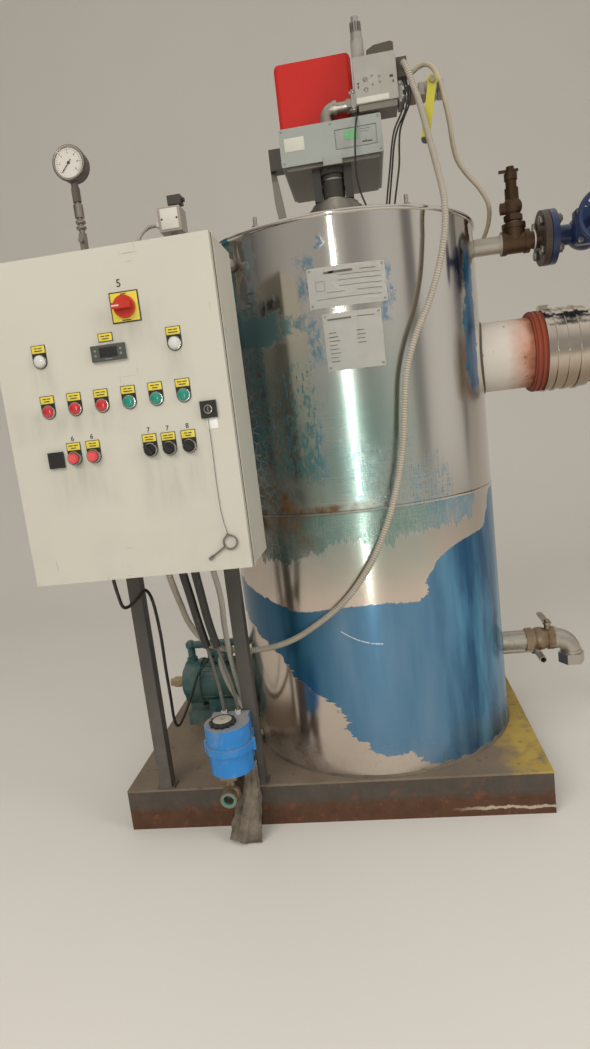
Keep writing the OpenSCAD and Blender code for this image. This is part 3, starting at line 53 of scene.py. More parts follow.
def place_camera():
    data = bpy.data.cameras.new("camera")
    data.sensor_width = SENSOR_MM
    data.lens = FOCAL_PX * SENSOR_MM / PHOTO_H
    data.clip_start = NEAR_CLIP
    ahead = Vector((
        math.sin(CAMERA_YAW) * math.cos(CAMERA_PITCH),
        math.cos(CAMERA_YAW) * math.cos(CAMERA_PITCH),
        math.sin(CAMERA_PITCH)))
    level = Vector((math.cos(CAMERA_YAW), -math.sin(CAMERA_YAW), 0))
    down = ahead.cross(level)
    right = level * math.cos(CAMERA_ROLL) + down * math.sin(CAMERA_ROLL)
    low = -level * math.sin(CAMERA_ROLL) + down * math.cos(CAMERA_ROLL)
    camera = bpy.data.objects.new("camera", data)
    camera.matrix_world = Matrix((
        (right.x, -low.x, -ahead.x, CAMERA_AT.x),
        (right.y, -low.y, -ahead.y, CAMERA_AT.y),
        (right.z, -low.z, -ahead.z, CAMERA_AT.z),
        (0, 0, 0, 1)))
    scene.collection.objects.link(camera)
    scene.camera = camera


place_camera()
scene.view_settings.view_transform = "Standard"

# Shared effects, each a node group made once


def make_group(name, inputs, outputs, build):
    tree = bpy.data.node_groups.new(name, "ShaderNodeTree")
    for label, kind, value in inputs:
        socket = tree.interface.new_socket(label, in_out="INPUT", socket_type=kind)
        if value is not None:
            socket.default_value = value
    for label, kind in outputs:
        tree.interface.new_socket(label, in_out="OUTPUT", socket_type=kind)
    maker = Nodes(tree)
    source = tree.nodes.new("NodeGroupInput")
    sink = tree.nodes.new("NodeGroupOutput")
    for label, value in build(maker, source.outputs).items():
        maker.wire(value, sink.inputs[label])
    return tree


class Nodes:
    """Adds nodes to one tree and wires them up."""

    def __init__(self, tree):
        self.tree = tree

    def wire(self, value, socket):
        if isinstance(value, bpy.types.NodeSocket):
            self.tree.links.new(value, socket)
        elif value is not None:
            if hasattr(socket.default_value, "__len__") and not hasattr(value, "__len__"):
                value = [value] * len(socket.default_value)
            socket.default_value = value

    def add(self, kind, settings=None, **inputs):
        node = self.tree.nodes.new(kind)
        for key, value in (settings or {}).items():
            setattr(node, key, value)
        for key, value in inputs.items():
            self.wire(value, node.inputs[key.replace("_", " ")])
        return node

    def math(self, operation, a, b=None, c=None, clamp=False):
        node = self.tree.nodes.new("ShaderNodeMath")
        node.operation = operation
        node.use_clamp = clamp
        for socket, value in zip(node.inputs, (a, b, c)):
            self.wire(value, socket)
        return node.outputs[0]

    def times(self, a, b, clamp=False):
        return self.math("MULTIPLY", a, b, clamp=clamp)

    def plus(self, a, b, clamp=False):
        return self.math("ADD", a, b, clamp=clamp)

    def minus(self, a, b):
        return self.math("SUBTRACT", a, b)

    def rest(self, a):
        """What is left of 1."""
        return self.math("SUBTRACT", 1.0, a)

    def larger(self, a, b):
        return self.math("MAXIMUM", a, b)

    def moved(self, value, by, amount):
        """A value moved by a share of another."""
        return self.plus(value, self.times(by, amount))

    def span(self, value, low, high, to_low=0.0, to_high=1.0):
        node = self.tree.nodes.new("ShaderNodeMapRange")
        for key, v in (("Value", value), ("From Min", low), ("From Max", high),
                       ("To Min", to_low), ("To Max", to_high)):
            self.wire(v, node.inputs[key])
        return node.outputs["Result"]

    def mix(self, factor, a, b, blend="MIX"):
        node = self.tree.nodes.new("ShaderNodeMix")
        node.data_type = "RGBA"
        node.blend_type = blend
        self.wire(factor, node.inputs[0])
        self.wire(a, node.inputs[6])
        self.wire(b, node.inputs[7])
        return node.outputs[2]

    def noise(self, at, scale, detail=4.0, rough=0.55):
        node = self.add("ShaderNodeTexNoise", Vector=at, Scale=scale, Detail=detail, Roughness=rough)
        return node.outputs["Fac"]

    def stretch(self, at, scale):
        node = self.add("ShaderNodeMapping", Vector=at, Scale=scale)
        return node.outputs["Vector"]

    def split(self, at):
        node = self.tree.nodes.new("ShaderNodeSeparateXYZ")
        self.wire(at, node.inputs[0])
        return node.outputs

    def use(self, group, **inputs):
        node = self.tree.nodes.new("ShaderNodeGroup")
        node.node_tree = group
        for key, value in inputs.items():
            self.wire(value, node.inputs[key.replace("_", " ")])
        return node.outputs

    def bump(self, height, strength, distance=0.001, normal=None):
        node = self.add("ShaderNodeBump", Height=height, Strength=strength, Distance=distance)
        if normal is not None:
            self.wire(normal, node.inputs["Normal"])
        return node.outputs["Normal"]


FLOAT = "NodeSocketFloat"
VECTOR = "NodeSocketVector"


def build_blotches(n, given):
    fine = n.noise(given["Vector"], given["Scale"], 6.0, 0.6)
    return {"Mask": n.span(fine, given["Low"], given["High"])}


BLOTCHES = make_group(
    "blotches", [("Vector", VECTOR, None), ("Scale", FLOAT, 8.0), ("Low", FLOAT, 0.45),
                 ("High", FLOAT, 0.65)],
    [("Mask", FLOAT)], build_blotches)


def build_scratches(n, given):
    along = n.stretch(given["Vector"], (140, 140, 9))
    across = n.stretch(given["Vector"], (9, 9, 150))
    slant = n.add("ShaderNodeMapping", Vector=given["Vector"], Rotation=(0.5, 0.6, 0.3),
                  Scale=(170, 20, 12)).outputs[0]
    a = n.noise(along, 1.0, 2.0)
    b = n.noise(across, 1.0, 2.0)
    c = n.noise(slant, 1.0, 2.0)
    low = n.rest(given["Amount"])
    top = n.larger(n.larger(a, b), c)
    return {"Mask": n.span(top, low, n.plus(low, 0.035))}


SCRATCHES = make_group(
    "scratches", [("Vector", VECTOR, None), ("Amount", FLOAT, 0.3)], [("Mask", FLOAT)], build_scratches)


def build_dust(n, given):
    height = n.split(given["Vector"])[2]
    facing = n.split(n.add("ShaderNodeNewGeometry").outputs["Normal"])[2]
    top = n.span(facing, 0.3, 1.0)
    patch = n.span(n.noise(given["Vector"], 14.0, 8.0, 0.65), 0.35, 0.7)
    near_floor = n.span(height, given["Floor Height"], 0.0)
    settled = n.times(n.plus(top, near_floor, clamp=True), patch)
    return {"Mask": n.times(settled, given["Amount"], clamp=True)}


DUST = make_group(
    "dust", [("Vector", VECTOR, None), ("Floor Height", FLOAT, 0.5), ("Amount", FLOAT, 0.5)],
    [("Mask", FLOAT)], build_dust)


def build_grain(n, given):
    fine = n.noise(n.stretch(given["Vector"], given["Stretch"]), 1.0, 3.0)
    return {"Height": fine}


GRAIN = make_group(
    "grain", [("Vector", VECTOR, None), ("Stretch", VECTOR, (40, 40, 900))], [("Height", FLOAT)], build_grain)

DUST_COLOUR = (0.33, 0.28, 0.21, 1)


class Finish(Nodes):
    """One material, with its shader and its Object coordinates."""

    def __init__(self, name):
        self.material = bpy.data.materials.new(name)
        self.material.use_nodes = True
        super().__init__(self.material.node_tree)
        self.shader = self.tree.nodes["Principled BSDF"]
        self.place = self.tree.nodes.new("ShaderNodeTexCoord").outputs["Object"]

    def ragged(self, scale, detail=8.0, rough=0.7):
        """Noise about zero, which tears an edge."""
        return self.minus(self.noise(self.place, scale, detail, rough), 0.5)

    def tone(self, scale, detail, dark, light, rough=0.55):
        return self.mix(self.noise(self.place, scale, detail, rough), dark, light)

    def spots(self, scale, low, high):
        return self.use(BLOTCHES, Vector=self.place, Scale=scale, Low=low, High=high)[0]

    def scratches(self, amount):
        return self.use(SCRATCHES, Vector=self.place, Amount=amount)[0]

    def settled(self, amount, floor=0.5):
        return self.use(DUST, Vector=self.place, Floor_Height=floor, Amount=amount)[0]

    def dusty(self, base, amount, floor=0.5):
        """The base with dust on it, and where the dust is."""
        settled = self.settled(amount, floor)
        return self.mix(settled, base, DUST_COLOUR), settled

    def clouds(self, scale, detail, low, high, to_low=0.0, to_high=1.0, rough=0.55):
        """Noise that runs from one value to another as it rises from low to high."""
        return self.span(self.noise(self.place, scale, detail, rough), low, high, to_low, to_high)

    def drawn(self, scale, detail, rough=0.55):
        """Noise drawn out along the axes that have a low scale."""
        return self.noise(self.stretch(self.place, scale), 1.0, detail, rough)

    def sheen(self, tone, low, high):
        """Roughness that follows the tone."""
        return self.span(tone, 0.2, 0.8, low, high)

    def skin(self, scale, detail, strength, distance, rough=0.55):
        """A fine bump."""
        return self.bump(self.noise(self.place, scale, detail, rough), strength, distance)

    def put(self, **inputs):
        for key, value in inputs.items():
            self.wire(value, self.shader.inputs[key.replace("_", " ")])
        return self.material


def rgb(r, g, b):
    return (r, g, b, 1)


def darker(colour, share):
    return tuple(c * share for c in colour[:3]) + (1,)


def painted(name, colour, rough=0.45, dust=0.3, wear=0.0, wear_colour=rgb(0.1, 0.06, 0.04), peel=0.15,
            floor=0.5, coat=0.0):
    """Paint or powder coat over steel: uneven tone, orange peel, dust, and chips where wear is above 0."""
    f = Finish(name)
    tone = f.noise(f.place, 3.0, 5.0)
    dark = darker(colour, 0.86)
    base = f.mix(tone, dark, colour)
    if wear > 0:
        chips = f.spots(26.0, 0.72 - wear, 0.75 - wear)
        base = f.mix(chips, base, wear_colour)
    base, settled = f.dusty(base, dust, floor)
    sheen = f.clouds(9.0, 4.0, 0.0, 1.0, rough - 0.08, rough + 0.1)
    normal = f.skin(700.0, 2.0, peel, 0.0004)
    return f.put(Base_Color=base, Roughness=f.plus(sheen, f.times(settled, 0.3)),
                 Normal=normal, Coat_Weight=coat)


def metal(name, colour, rough=0.3, dust=0.2, stain=0.3, stain_colour=rgb(0.12, 0.07, 0.04),
          stretch=(60, 60, 60), bumpy=0.1, anisotropic=0.0, scale=18.0):
    """Bare metal with a grain, stains and dust."""
    f = Finish(name)
    grain = f.use(GRAIN, Vector=f.place, Stretch=stretch)[0]
    dull = darker(colour, 0.7)
    base = f.tone(5.0, 6.0, dull, colour)
    spots = f.spots(scale, 0.78 - stain, 0.9 - stain * 0.6)
    base = f.mix(spots, base, stain_colour)
    base, settled = f.dusty(base, dust)
    cover = f.larger(spots, settled)
    return f.put(
        Base_Color=base,
        Metallic=f.span(cover, 0.0, 1.0, 1.0, 0.15),
        Roughness=f.plus(f.span(grain, 0.2, 0.8, rough - 0.08, rough + 0.12), f.times(cover, 0.35)),
        Normal=f.bump(grain, bumpy, 0.0006), Anisotropic=anisotropic)


def plastic(name, colour, rough=0.35, dust=0.15, peel=0.05, coat=0.0):
    """Moulded plastic with a fine skin, faint marks and a little dust."""
    f = Finish(name)
    tone = f.noise(f.place, 30.0, 5.0)
    dark = darker(colour, 0.88)
    base = f.dusty(f.mix(tone, dark, colour), dust, 0.4)[0]
    marks = f.scratches(0.26)
    sheen = f.plus(f.span(tone, 0.2, 0.8, rough - 0.05, rough + 0.08), f.times(marks, 0.12))
    return f.put(Base_Color=base, Roughness=sheen, Normal=f.skin(900.0, 2.0, peel, 0.0003),
                 Coat_Weight=coat)


# The casing's sheet steel with what is left of its blue protective film


def curve_of(f, value, points):
    """A smooth curve through given points, with both of their axes scaled to run from 0 to 1."""
    node = f.tree.nodes.new("ShaderNodeFloatCurve")
    line = node.mapping.curves[0]
    while len(line.points) > 2:
        line.points.remove(line.points[1])
    line.points[0].location = points[0]
    line.points[1].location = points[-1]
    for p in points[1:-1]:
        line.points.new(*p)
    for p in line.points:
        p.handle_type = "AUTO_CLAMPED"
    node.mapping.update()
    f.wire(value, node.inputs["Value"])
    return node.outputs[0]


def build_patch(n, given):
    def off(value, centre, half):
        return n.math("DIVIDE", n.math("ABSOLUTE", n.minus(given[value], given[centre])), given[half])

    farther = n.larger(off("Turn", "Centre Turn", "Half Turn"), off("Height", "Centre Height", "Half Height"))
    return {"Mask": n.span(farther, n.plus(1.0, given["Soft"]), n.rest(given["Soft"]))}


PATCH = make_group(
    "film_patch",
    [("Turn", FLOAT, 0.0), ("Height", FLOAT, 0.0), ("Centre Turn", FLOAT, 0.0), ("Half Turn", FLOAT, 10.0),
     ("Centre Height", FLOAT, 1.0), ("Half Height", FLOAT, 0.1), ("Soft", FLOAT, 0.05)],
    [("Mask", FLOAT)], build_patch)

# The film's lower area, as (turn in degrees from the front, height in metres)
FILM_TOP = [(-70, 0.66), (-57, 0.635), (-42, 0.614), (-27, 0.590), (-10, 0.603), (5, 0.606), (21, 0.599),
            (25, 0.655), (30, 0.697), (38, 0.726), (48, 0.741), (58, 0.752), (64, 0.80), (70, 0.85),
            (120, 0.85)]
FILM_LOW = [(-70, 0.54), (-57, 0.50), (-43, 0.465), (-31, 0.392), (-22, 0.355), (-13, 0.302), (-10, 0.244),
            (-5, 0.212), (1, 0.182), (10, 0.184), (17, 0.150), (22, 0.134), (40, 0.130), (58, 0.126),
            (120, 0.12)]

# The lower edge of the worn film under the seam
BAND_LOW = [(-70, 0.72), (-42, 0.733), (-27, 0.730), (-19, 0.747), (-10, 0.768), (-5, 0.780), (9, 0.764),
            (16, 0.775), (24, 0.778), (33, 0.780), (40, 0.787), (49, 0.790), (54, 0.86), (120, 0.90)]
SEAM_Z = 0.854
FILM_LEFT = -86.0
FILM_RIGHT = 118.0
TURN_LOW = -70
TURN_SPAN = 190
CASING_H = 1.6

# How far a torn edge fades, in metres
TEAR = 0.0015

# Patches on the casing, as (turn, half turn, height, half height, softness of the edge)
SOLID_PATCHES = [(62.0, 4.2, 1.31, 0.19, 0.12), (57.0, 2.2, 1.25, 0.1, 0.2), (-41.0, 2.0, 1.572, 0.012, 0.2)]
REMAINS = [(-9.0, 3.0, 1.44, 0.045, 0.3), (-15.5, 5.5, 1.335, 0.02, 0.3), (-3.2, 1.2, 1.518, 0.014, 0.3),
           (-8.0, 2.2, 1.29, 0.055, 0.3), (19.6, 1.3, 1.40, 0.05, 0.3), (17.6, 1.8, 1.345, 0.03, 0.3)]
DARK_PATCH = (-33.0, 12.0, 1.335, 0.04, 0.15)
COLUMN = [(-37.0, 10.0, 1.28, 0.13, 0.08), (-35.0, 14.0, 1.04, 0.2, 0.1), (-24.0, 4.0, 1.40, 0.02, 0.3),
          (-43.0, 4.0, 1.50, 0.09, 0.1), (-30.5, 2.0, 1.46, 0.1, 0.2)]
NETTED = [(-17.0, 7.5, 1.09, 0.15, 0.15), (-38.0, 4.5, 1.12, 0.1, 0.1)]
FLAME_PATCH = (29.5, 9.0, 0.93, 0.075, 0.2)
HATCH_PATCH = (10.0, 11.0, 0.945, 0.085, 0.35)
# The glue haze's patch, which around the highlight streak also gives the streak's painted green reflection.
HAZE_PATCH = (-6.0, 27.0, 0.98, 0.24, 0.5)
RUST_PATCHES = [(-33.0, 14.0, 0.868, 0.085, 0.5), (-20.0, 26.0, 0.866, 0.012, 0.6)]

# The pale scratch on the film: where its middle is, its rise, and its two ends in degrees from there
SCRATCH_TURN = 6.0
SCRATCH_Z = 0.498
SCRATCH_RISE = 0.00015
SCRATCH_ENDS = (-10.5, 5.0)

STEEL_DARK = rgb(0.58, 0.545, 0.50)
STEEL_LIGHT = rgb(0.78, 0.75, 0.71)
WARM_STEEL_DARK = rgb(0.56, 0.475, 0.41)
WARM_STEEL_LIGHT = rgb(0.76, 0.66, 0.585)
HAZE_LEFT = rgb(0.05, 0.20, 0.21)
HAZE_RIGHT = rgb(0.24, 0.49, 0.43)
FILM_BLUE_DARK = rgb(0.085, 0.205, 0.34)
FILM_BLUE_LIGHT = rgb(0.14, 0.265, 0.40)
FILM_NAVY = rgb(0.014, 0.085, 0.19)
FILM_SKY = rgb(0.085, 0.28, 0.45)
FILM_LEFT_SIDE = rgb(0.025, 0.12, 0.22)
FILM_AGED_DARK = rgb(0.03, 0.13, 0.16)
FILM_AGED_LIGHT = rgb(0.08, 0.24, 0.26)
FILM_HATCHED = rgb(0.14, 0.35, 0.42)
BAND_MIDDLE = rgb(0.16, 0.30, 0.27)
BAND_LEFT = rgb(0.04, 0.10, 0.095)
BAND_RIGHT = rgb(0.07, 0.27, 0.40)
SCRATCH_PALE = rgb(0.62, 0.66, 0.68)
RUST_DARK = rgb(0.045, 0.018, 0.008)
RUST_LIGHT = rgb(0.24, 0.11, 0.02)
FLOOR_GRIME = rgb(0.20, 0.15, 0.10)


def scaled(points):
    return [((t - TURN_LOW) / TURN_SPAN, z / CASING_H) for t, z in points]


def between(f, value, low, high, soft=0.0005):
    """A mask that is 1 from low to high."""
    return f.times(f.span(value, low - soft, low + soft), f.span(value, high + soft, high - soft))


def join(f, *masks):
    total = masks[0]
    for mask in masks[1:]:
        total = f.larger(total, mask)
    return total


def patches(f, turn, height, rows):
    """A mask over soft-edged patches, each given as (turn, half turn, height, half height, softness)."""
    return join(f, *[f.use(PATCH, Turn=turn, Height=height, Centre_Turn=t, Half_Turn=half_t,
                           Centre_Height=h, Half_Height=half_h, Soft=soft)[0]
                     for t, half_t, h, half_h, soft in rows])


def film_masks(f, turn, z):
    """Where the film is: its torn area below, its worn band under the seam and what is left of it above."""
    ragged = f.ragged(34.0)
    torn = f.minus(f.drawn((1.5, 1.5, 60), 5.0, 0.6), 0.5)
    spikes = f.minus(f.drawn((55, 55, 5), 3.0, 0.6), 0.5)
    turn_r = f.moved(turn, ragged, 10.0)
    turn_t = f.moved(f.moved(turn, torn, 16.0), ragged, 5.0)
    z_r = f.moved(z, ragged, 0.06)

    def along(points, t):
        return f.times(curve_of(f, f.span(t, TURN_LOW, TURN_LOW + TURN_SPAN), scaled(points)), CASING_H)

    def over(*rows):
        return patches(f, turn_r, z_r, rows)

    below = f.span(f.minus(along(FILM_TOP, turn_r), f.moved(z, ragged, 0.02)), -TEAR, TEAR)
    above = f.span(f.minus(f.moved(z, ragged, 0.05), along(FILM_LOW, turn_t)), -TEAR, TEAR)
    kept = between(f, turn_r, FILM_LEFT, FILM_RIGHT, 0.05)
    solid = join(f, f.times(f.times(below, above), kept), over(*SOLID_PATCHES))

    hanging = f.moved(f.moved(z, spikes, 0.09), ragged, 0.02)
    band = f.span(f.minus(hanging, along(BAND_LOW, turn_r)), -0.002, 0.003)
    band = f.times(f.times(band, f.span(z, SEAM_Z, SEAM_Z - 0.001)), kept)

    crumbs = f.span(f.drawn((60, 60, 30), 4.0, 0.65), 0.40, 0.52)
    remains = f.times(over(*REMAINS), f.span(crumbs, 0.0, 1.0, 0.12, 0.8))
    dark_band = f.times(over(DARK_PATCH), 0.85)

    cells = f.add("ShaderNodeTexVoronoi", {"feature": "DISTANCE_TO_EDGE"}, Vector=f.place, Scale=42.0)
    crackle = f.times(f.span(cells.outputs["Distance"], 0.075, 0.05), f.clouds(22.0, 4.0, 0.40, 0.44))
    speckle = f.drawn((120, 120, 44), 3.0, 0.6)
    strokes = f.span(f.plus(speckle, f.span(z, 1.0, 1.2, 0.0, 0.11)), 0.50, 0.54)
    net = f.larger(f.times(crackle, f.span(turn, -27.0, -31.0)), f.times(strokes, f.span(turn, -31.0, -27.0)))
    rubbed = f.use(SCRATCHES, Vector=f.stretch(f.place, (2.6, 2.6, 2.6)), Amount=0.46)[0]

    flames = f.span(f.minus(0.955, f.moved(z, spikes, 0.30)), -0.002, 0.006)
    hatched = f.larger(f.times(flames, over(FLAME_PATCH)), f.times(over(HATCH_PATCH), 0.5))
    column = f.times(over(*COLUMN), f.rest(f.times(net, f.rest(solid))))
    thin = join(f, f.times(hatched, f.rest(rubbed)), column)
    thin = f.times(thin, f.clouds(9.0, 4.0, 0.35, 0.6, 0.45, 0.95))
    netted = f.times(f.times(over(*NETTED), f.rest(net)), 0.8)
    worn = f.times(band, f.clouds(14.0, 6.0, 0.32, 0.62, 0.5, 0.95, rough=0.65))
    worn = f.times(worn, f.span(rubbed, 0.0, 1.0, 1.0, 0.72))
    film = join(f, solid, thin, netted, remains, dark_band, worn)
    return {"film": film, "band": band, "hatched": hatched, "hazy": over(HAZE_PATCH), "speckle": speckle}


def bare_sheet(f, turn, z, hazy):
    """Brushed steel, warmer below, with a green haze where the film has left its glue; near the highlight
    streak the haze also paints the streak's green reflection.
    """
    grain = f.drawn((3, 3, 0.4), 3.0)
    steel = f.mix(grain, STEEL_DARK, STEEL_LIGHT)
    steel = f.mix(f.span(z, 0.9, 0.7), steel, f.mix(grain, WARM_STEEL_DARK, WARM_STEEL_LIGHT))
    # Teal glue haze; near the highlight streak it also stands for the streak's painted green reflection.
    haze = f.times(hazy, f.clouds(6.0, 5.0, 0.3, 0.7, 0.35, 0.85))
    return f.mix(haze, steel, f.mix(f.span(turn, 8.0, -22.0), HAZE_RIGHT, HAZE_LEFT))


def film_tint(f, turn, z, masks):
    """The film's own colour: blue with waves at the right, greener and darker above and under the seam."""
    wave = f.drawn((13, 13, 2.2), 5.0, 0.55)
    fresh = f.mix(f.span(wave, 0.35, 0.65), FILM_BLUE_DARK, FILM_BLUE_LIGHT)
    fresh = f.mix(f.span(turn, 24.0, 44.0), fresh, f.mix(f.span(wave, 0.40, 0.62), FILM_NAVY, FILM_SKY))
    fresh = f.mix(f.span(turn, -8.0, -26.0), fresh, FILM_LEFT_SIDE)
    aged = f.tone(7.0, 5.0, FILM_AGED_DARK, FILM_AGED_LIGHT)
    tint = f.mix(f.times(f.span(turn, 0.0, -16.0), f.span(z, 0.84, 0.87)), fresh, aged)
    tint = f.mix(f.times(masks["hatched"], 0.5), tint, FILM_HATCHED)
    band_tint = f.mix(f.span(turn, 0.0, -30.0), BAND_MIDDLE, BAND_LEFT)
    tint = f.mix(masks["band"], tint, f.mix(f.span(turn, 20.0, 40.0), band_tint, BAND_RIGHT))
    off = f.plus(turn, -SCRATCH_TURN)
    arc = f.minus(f.minus(z, SCRATCH_Z), f.times(f.times(off, off), SCRATCH_RISE))
    arc = f.times(f.span(f.math("ABSOLUTE", arc), 0.0020, 0.0010), between(f, turn, *SCRATCH_ENDS))
    return f.mix(f.times(arc, f.span(masks["speckle"], 0.4, 0.5)), tint, SCRATCH_PALE)


def casing_finish():
    """Brushed sheet steel with what is left of its blue film, rust at the seam and grime at the foot."""
    f = Finish("casing_sheet")
    x, y, z = f.split(f.place)
    turn = f.times(f.math("ARCTAN2", x, f.times(y, -1.0)), 180 / math.pi)
    masks = film_masks(f, turn, z)
    film = masks["film"]
    base = f.mix(film, bare_sheet(f, turn, z, masks["hazy"]), film_tint(f, turn, z, masks))
    rust = f.times(patches(f, turn, z, RUST_PATCHES), f.clouds(16.0, 7.0, 0.35, 0.62, rough=0.65))
    base = f.mix(rust, base, f.tone(30.0, 5.0, RUST_DARK, RUST_LIGHT))
    grime = f.times(f.span(z, 0.24, 0.12), f.clouds(12.0, 7.0, 0.35, 0.75))
    base = f.mix(f.times(grime, 0.6), base, FLOOR_GRIME)
    dirt = f.larger(rust, grime)

    grain = f.use(GRAIN, Vector=f.place, Stretch=(14, 14, 1500))[0]
    brushed = f.times(grain, f.rest(film))
    rough = f.plus(f.span(brushed, 0.2, 0.8, 0.16, 0.215), f.span(z, 1.34, 1.44, 0.0, -0.08))
    rough = f.moved(f.moved(rough, masks["hazy"], 0.07), film, 0.09)
    rough = f.plus(rough, f.times(dirt, 0.35), clamp=True)
    dents = f.drawn((5.0, 5.0, 0.5), 2.0)
    normal = f.bump(dents, 0.32, 0.012, f.bump(film, 0.35, 0.0004))
    metallic = f.larger(f.minus(f.span(film, 0.0, 1.0, 1.0, 0.62), f.times(dirt, 0.6)), 0.0)
    tangent = f.add("ShaderNodeTangent", {"direction_type": "RADIAL", "axis": "Z"})
    return f.put(Base_Color=base, Roughness=rough, Metallic=metallic,
                 Normal=f.bump(brushed, 0.035, 0.0004, normal),
                 Anisotropic=0.55, Anisotropic_Rotation=0.25, Tangent=tangent.outputs[0])


def skid_finish():
    """Dark paint on the upper half of the channels, rust below, and a pale line at the lower right."""
    f = Finish("skid_paint")
    x, _, z = f.split(f.place)
    ragged = f.ragged(22.0, 8.0, 0.7)
    low = f.span(f.moved(z, ragged, 0.05), 0.072, 0.05)
    dark = f.tone(12.0, 6.0, rgb(0.042, 0.034, 0.028), rgb(0.10, 0.082, 0.066))
    rust = f.tone(26.0, 7.0, rgb(0.05, 0.022, 0.011), rgb(0.12, 0.052, 0.026))
    base = f.mix(low, dark, rust)
    spots = f.spots(40.0, 0.58, 0.66)
    base = f.mix(f.times(spots, 0.7), base, rgb(0.16, 0.06, 0.03))
    right_end = f.span(x, 0.17, 0.27)
    line_z = f.moved(z, ragged, 0.028)
    line = f.times(f.span(f.math("ABSOLUTE", f.minus(line_z, 0.022)), 0.005, 0.0025), right_end)
    base = f.mix(line, base, rgb(0.45, 0.36, 0.28))
    rough = f.clouds(60.0, 5.0, 0.2, 0.8, 0.6, 0.9)
    return f.put(Base_Color=base, Roughness=rough, Normal=f.skin(90.0, 7.0, 0.5, 0.0015, 0.7))


def deck_finish():
    """The skid's plate: dusty dark paint, with yellow paint at its right end."""
    f = Finish("deck_paint")
    x, y, _ = f.split(f.place)
    ragged = f.ragged(9.0, 8.0, 0.7)
    base = f.tone(8.0, 7.0, rgb(0.10, 0.078, 0.06), rgb(0.27, 0.21, 0.15), 0.65)
    edge = f.plus(f.moved(x, y, 0.15), f.times(ragged, 0.16))
    yellow = f.times(f.span(edge, 0.26, 0.33), f.clouds(24.0, 6.0, 0.28, 0.5))
    base = f.mix(yellow, base, f.tone(15.0, 6.0, rgb(0.33, 0.22, 0.05), rgb(0.50, 0.36, 0.09)))
    spots = f.spots(32.0, 0.6, 0.68)
    base = f.mix(f.times(spots, 0.6), base, rgb(0.12, 0.05, 0.03))
    return f.put(Base_Color=base, Roughness=0.8, Normal=f.skin(60.0, 7.0, 0.35, 0.001, 0.7))


def flue_stub_finish():
    """White heat-proof paint, scorched orange and grey towards its outer end."""
    f = Finish("flue_stub_paint")
    x = f.split(f.place)[0]
    ragged = f.ragged(12.0, 7.0, 0.65)
    at = f.moved(x, ragged, 0.09)
    base = f.tone(9.0, 6.0, rgb(0.50, 0.45, 0.40), rgb(0.66, 0.61, 0.55))
    base = f.mix(f.span(at, 0.46, 0.53), base, rgb(0.44, 0.17, 0.09))
    base = f.mix(f.times(f.span(at, 0.50, 0.545), f.clouds(30.0, 6.0, 0.4, 0.6)), base, rgb(0.20, 0.08, 0.05))
    spots = f.spots(38.0, 0.64, 0.7)
    base = f.mix(spots, base, rgb(0.12, 0.07, 0.04))
    return f.put(Base_Color=base, Roughness=0.6, Normal=f.skin(120.0, 6.0, 0.3, 0.0006))


def flue_sheet_finish():
    """Polished stainless sheet with a painted reflection of a brown floor on its lower half, and a little
    soot.
    """
    f = Finish("flue_sheet")
    z = f.split(f.place)[2]
    tone = f.drawn((2, 8, 8), 4.0)
    base = f.mix(tone, rgb(0.58, 0.51, 0.43), rgb(0.74, 0.68, 0.60))
    # Painted reflection: the lower half is tinted dark brown, as if it mirrored a brown floor.
    lower = f.span(f.moved(z, tone, 0.03), 1.235, 1.150)
    base = f.mix(f.times(lower, 0.75), base, rgb(0.31, 0.225, 0.15))
    soot = f.times(f.clouds(17.0, 6.0, 0.5, 0.75), 0.25)
    base = f.mix(soot, base, rgb(0.20, 0.13, 0.08))
    return f.put(Base_Color=base, Metallic=1.0, Roughness=f.sheen(tone, 0.13, 0.19))


def two_tone(name, colour, other, axis, edge_a, edge_b, dust=0.3, metallic=0.0):
    """Paint in one colour, metallic if wanted, that gives way to another between two places on an axis."""
    f = Finish(name)
    at = f.split(f.place)[axis]
    tone = f.noise(f.place, 14.0, 5.0)
    first = f.mix(tone, darker(colour, 0.84), colour)
    second = f.mix(tone, darker(other, 0.7), other)
    past = f.span(at, edge_a, edge_b)
    base, settled = f.dusty(f.mix(past, first, second), dust)
    bare = f.times(f.rest(f.larger(past, settled)), metallic)
    return f.put(Base_Color=base, Metallic=bare, Roughness=f.sheen(tone, 0.34, 0.5),
                 Normal=f.skin(500.0, 3.0, 0.2, 0.0004))


# Painted shadows below the cabinet's fittings, as (x, half width, z, half height, softness) in metres
FITTING_SHADOWS = [(-0.572, 0.055, 1.035, 0.045, 0.8), (-0.412, 0.022, 1.015, 0.055, 0.8),
          (-0.369, 0.018, 1.015, 0.05, 0.8), (-0.325, 0.02, 1.025, 0.045, 0.8),
          (-0.625, 0.02, 1.262, 0.03, 0.8), (-0.326, 0.02, 1.262, 0.03, 0.8),
          (-0.42, 0.05, 1.335, 0.03, 0.8), (-0.58, 0.10, 1.155, 0.024, 0.8)]


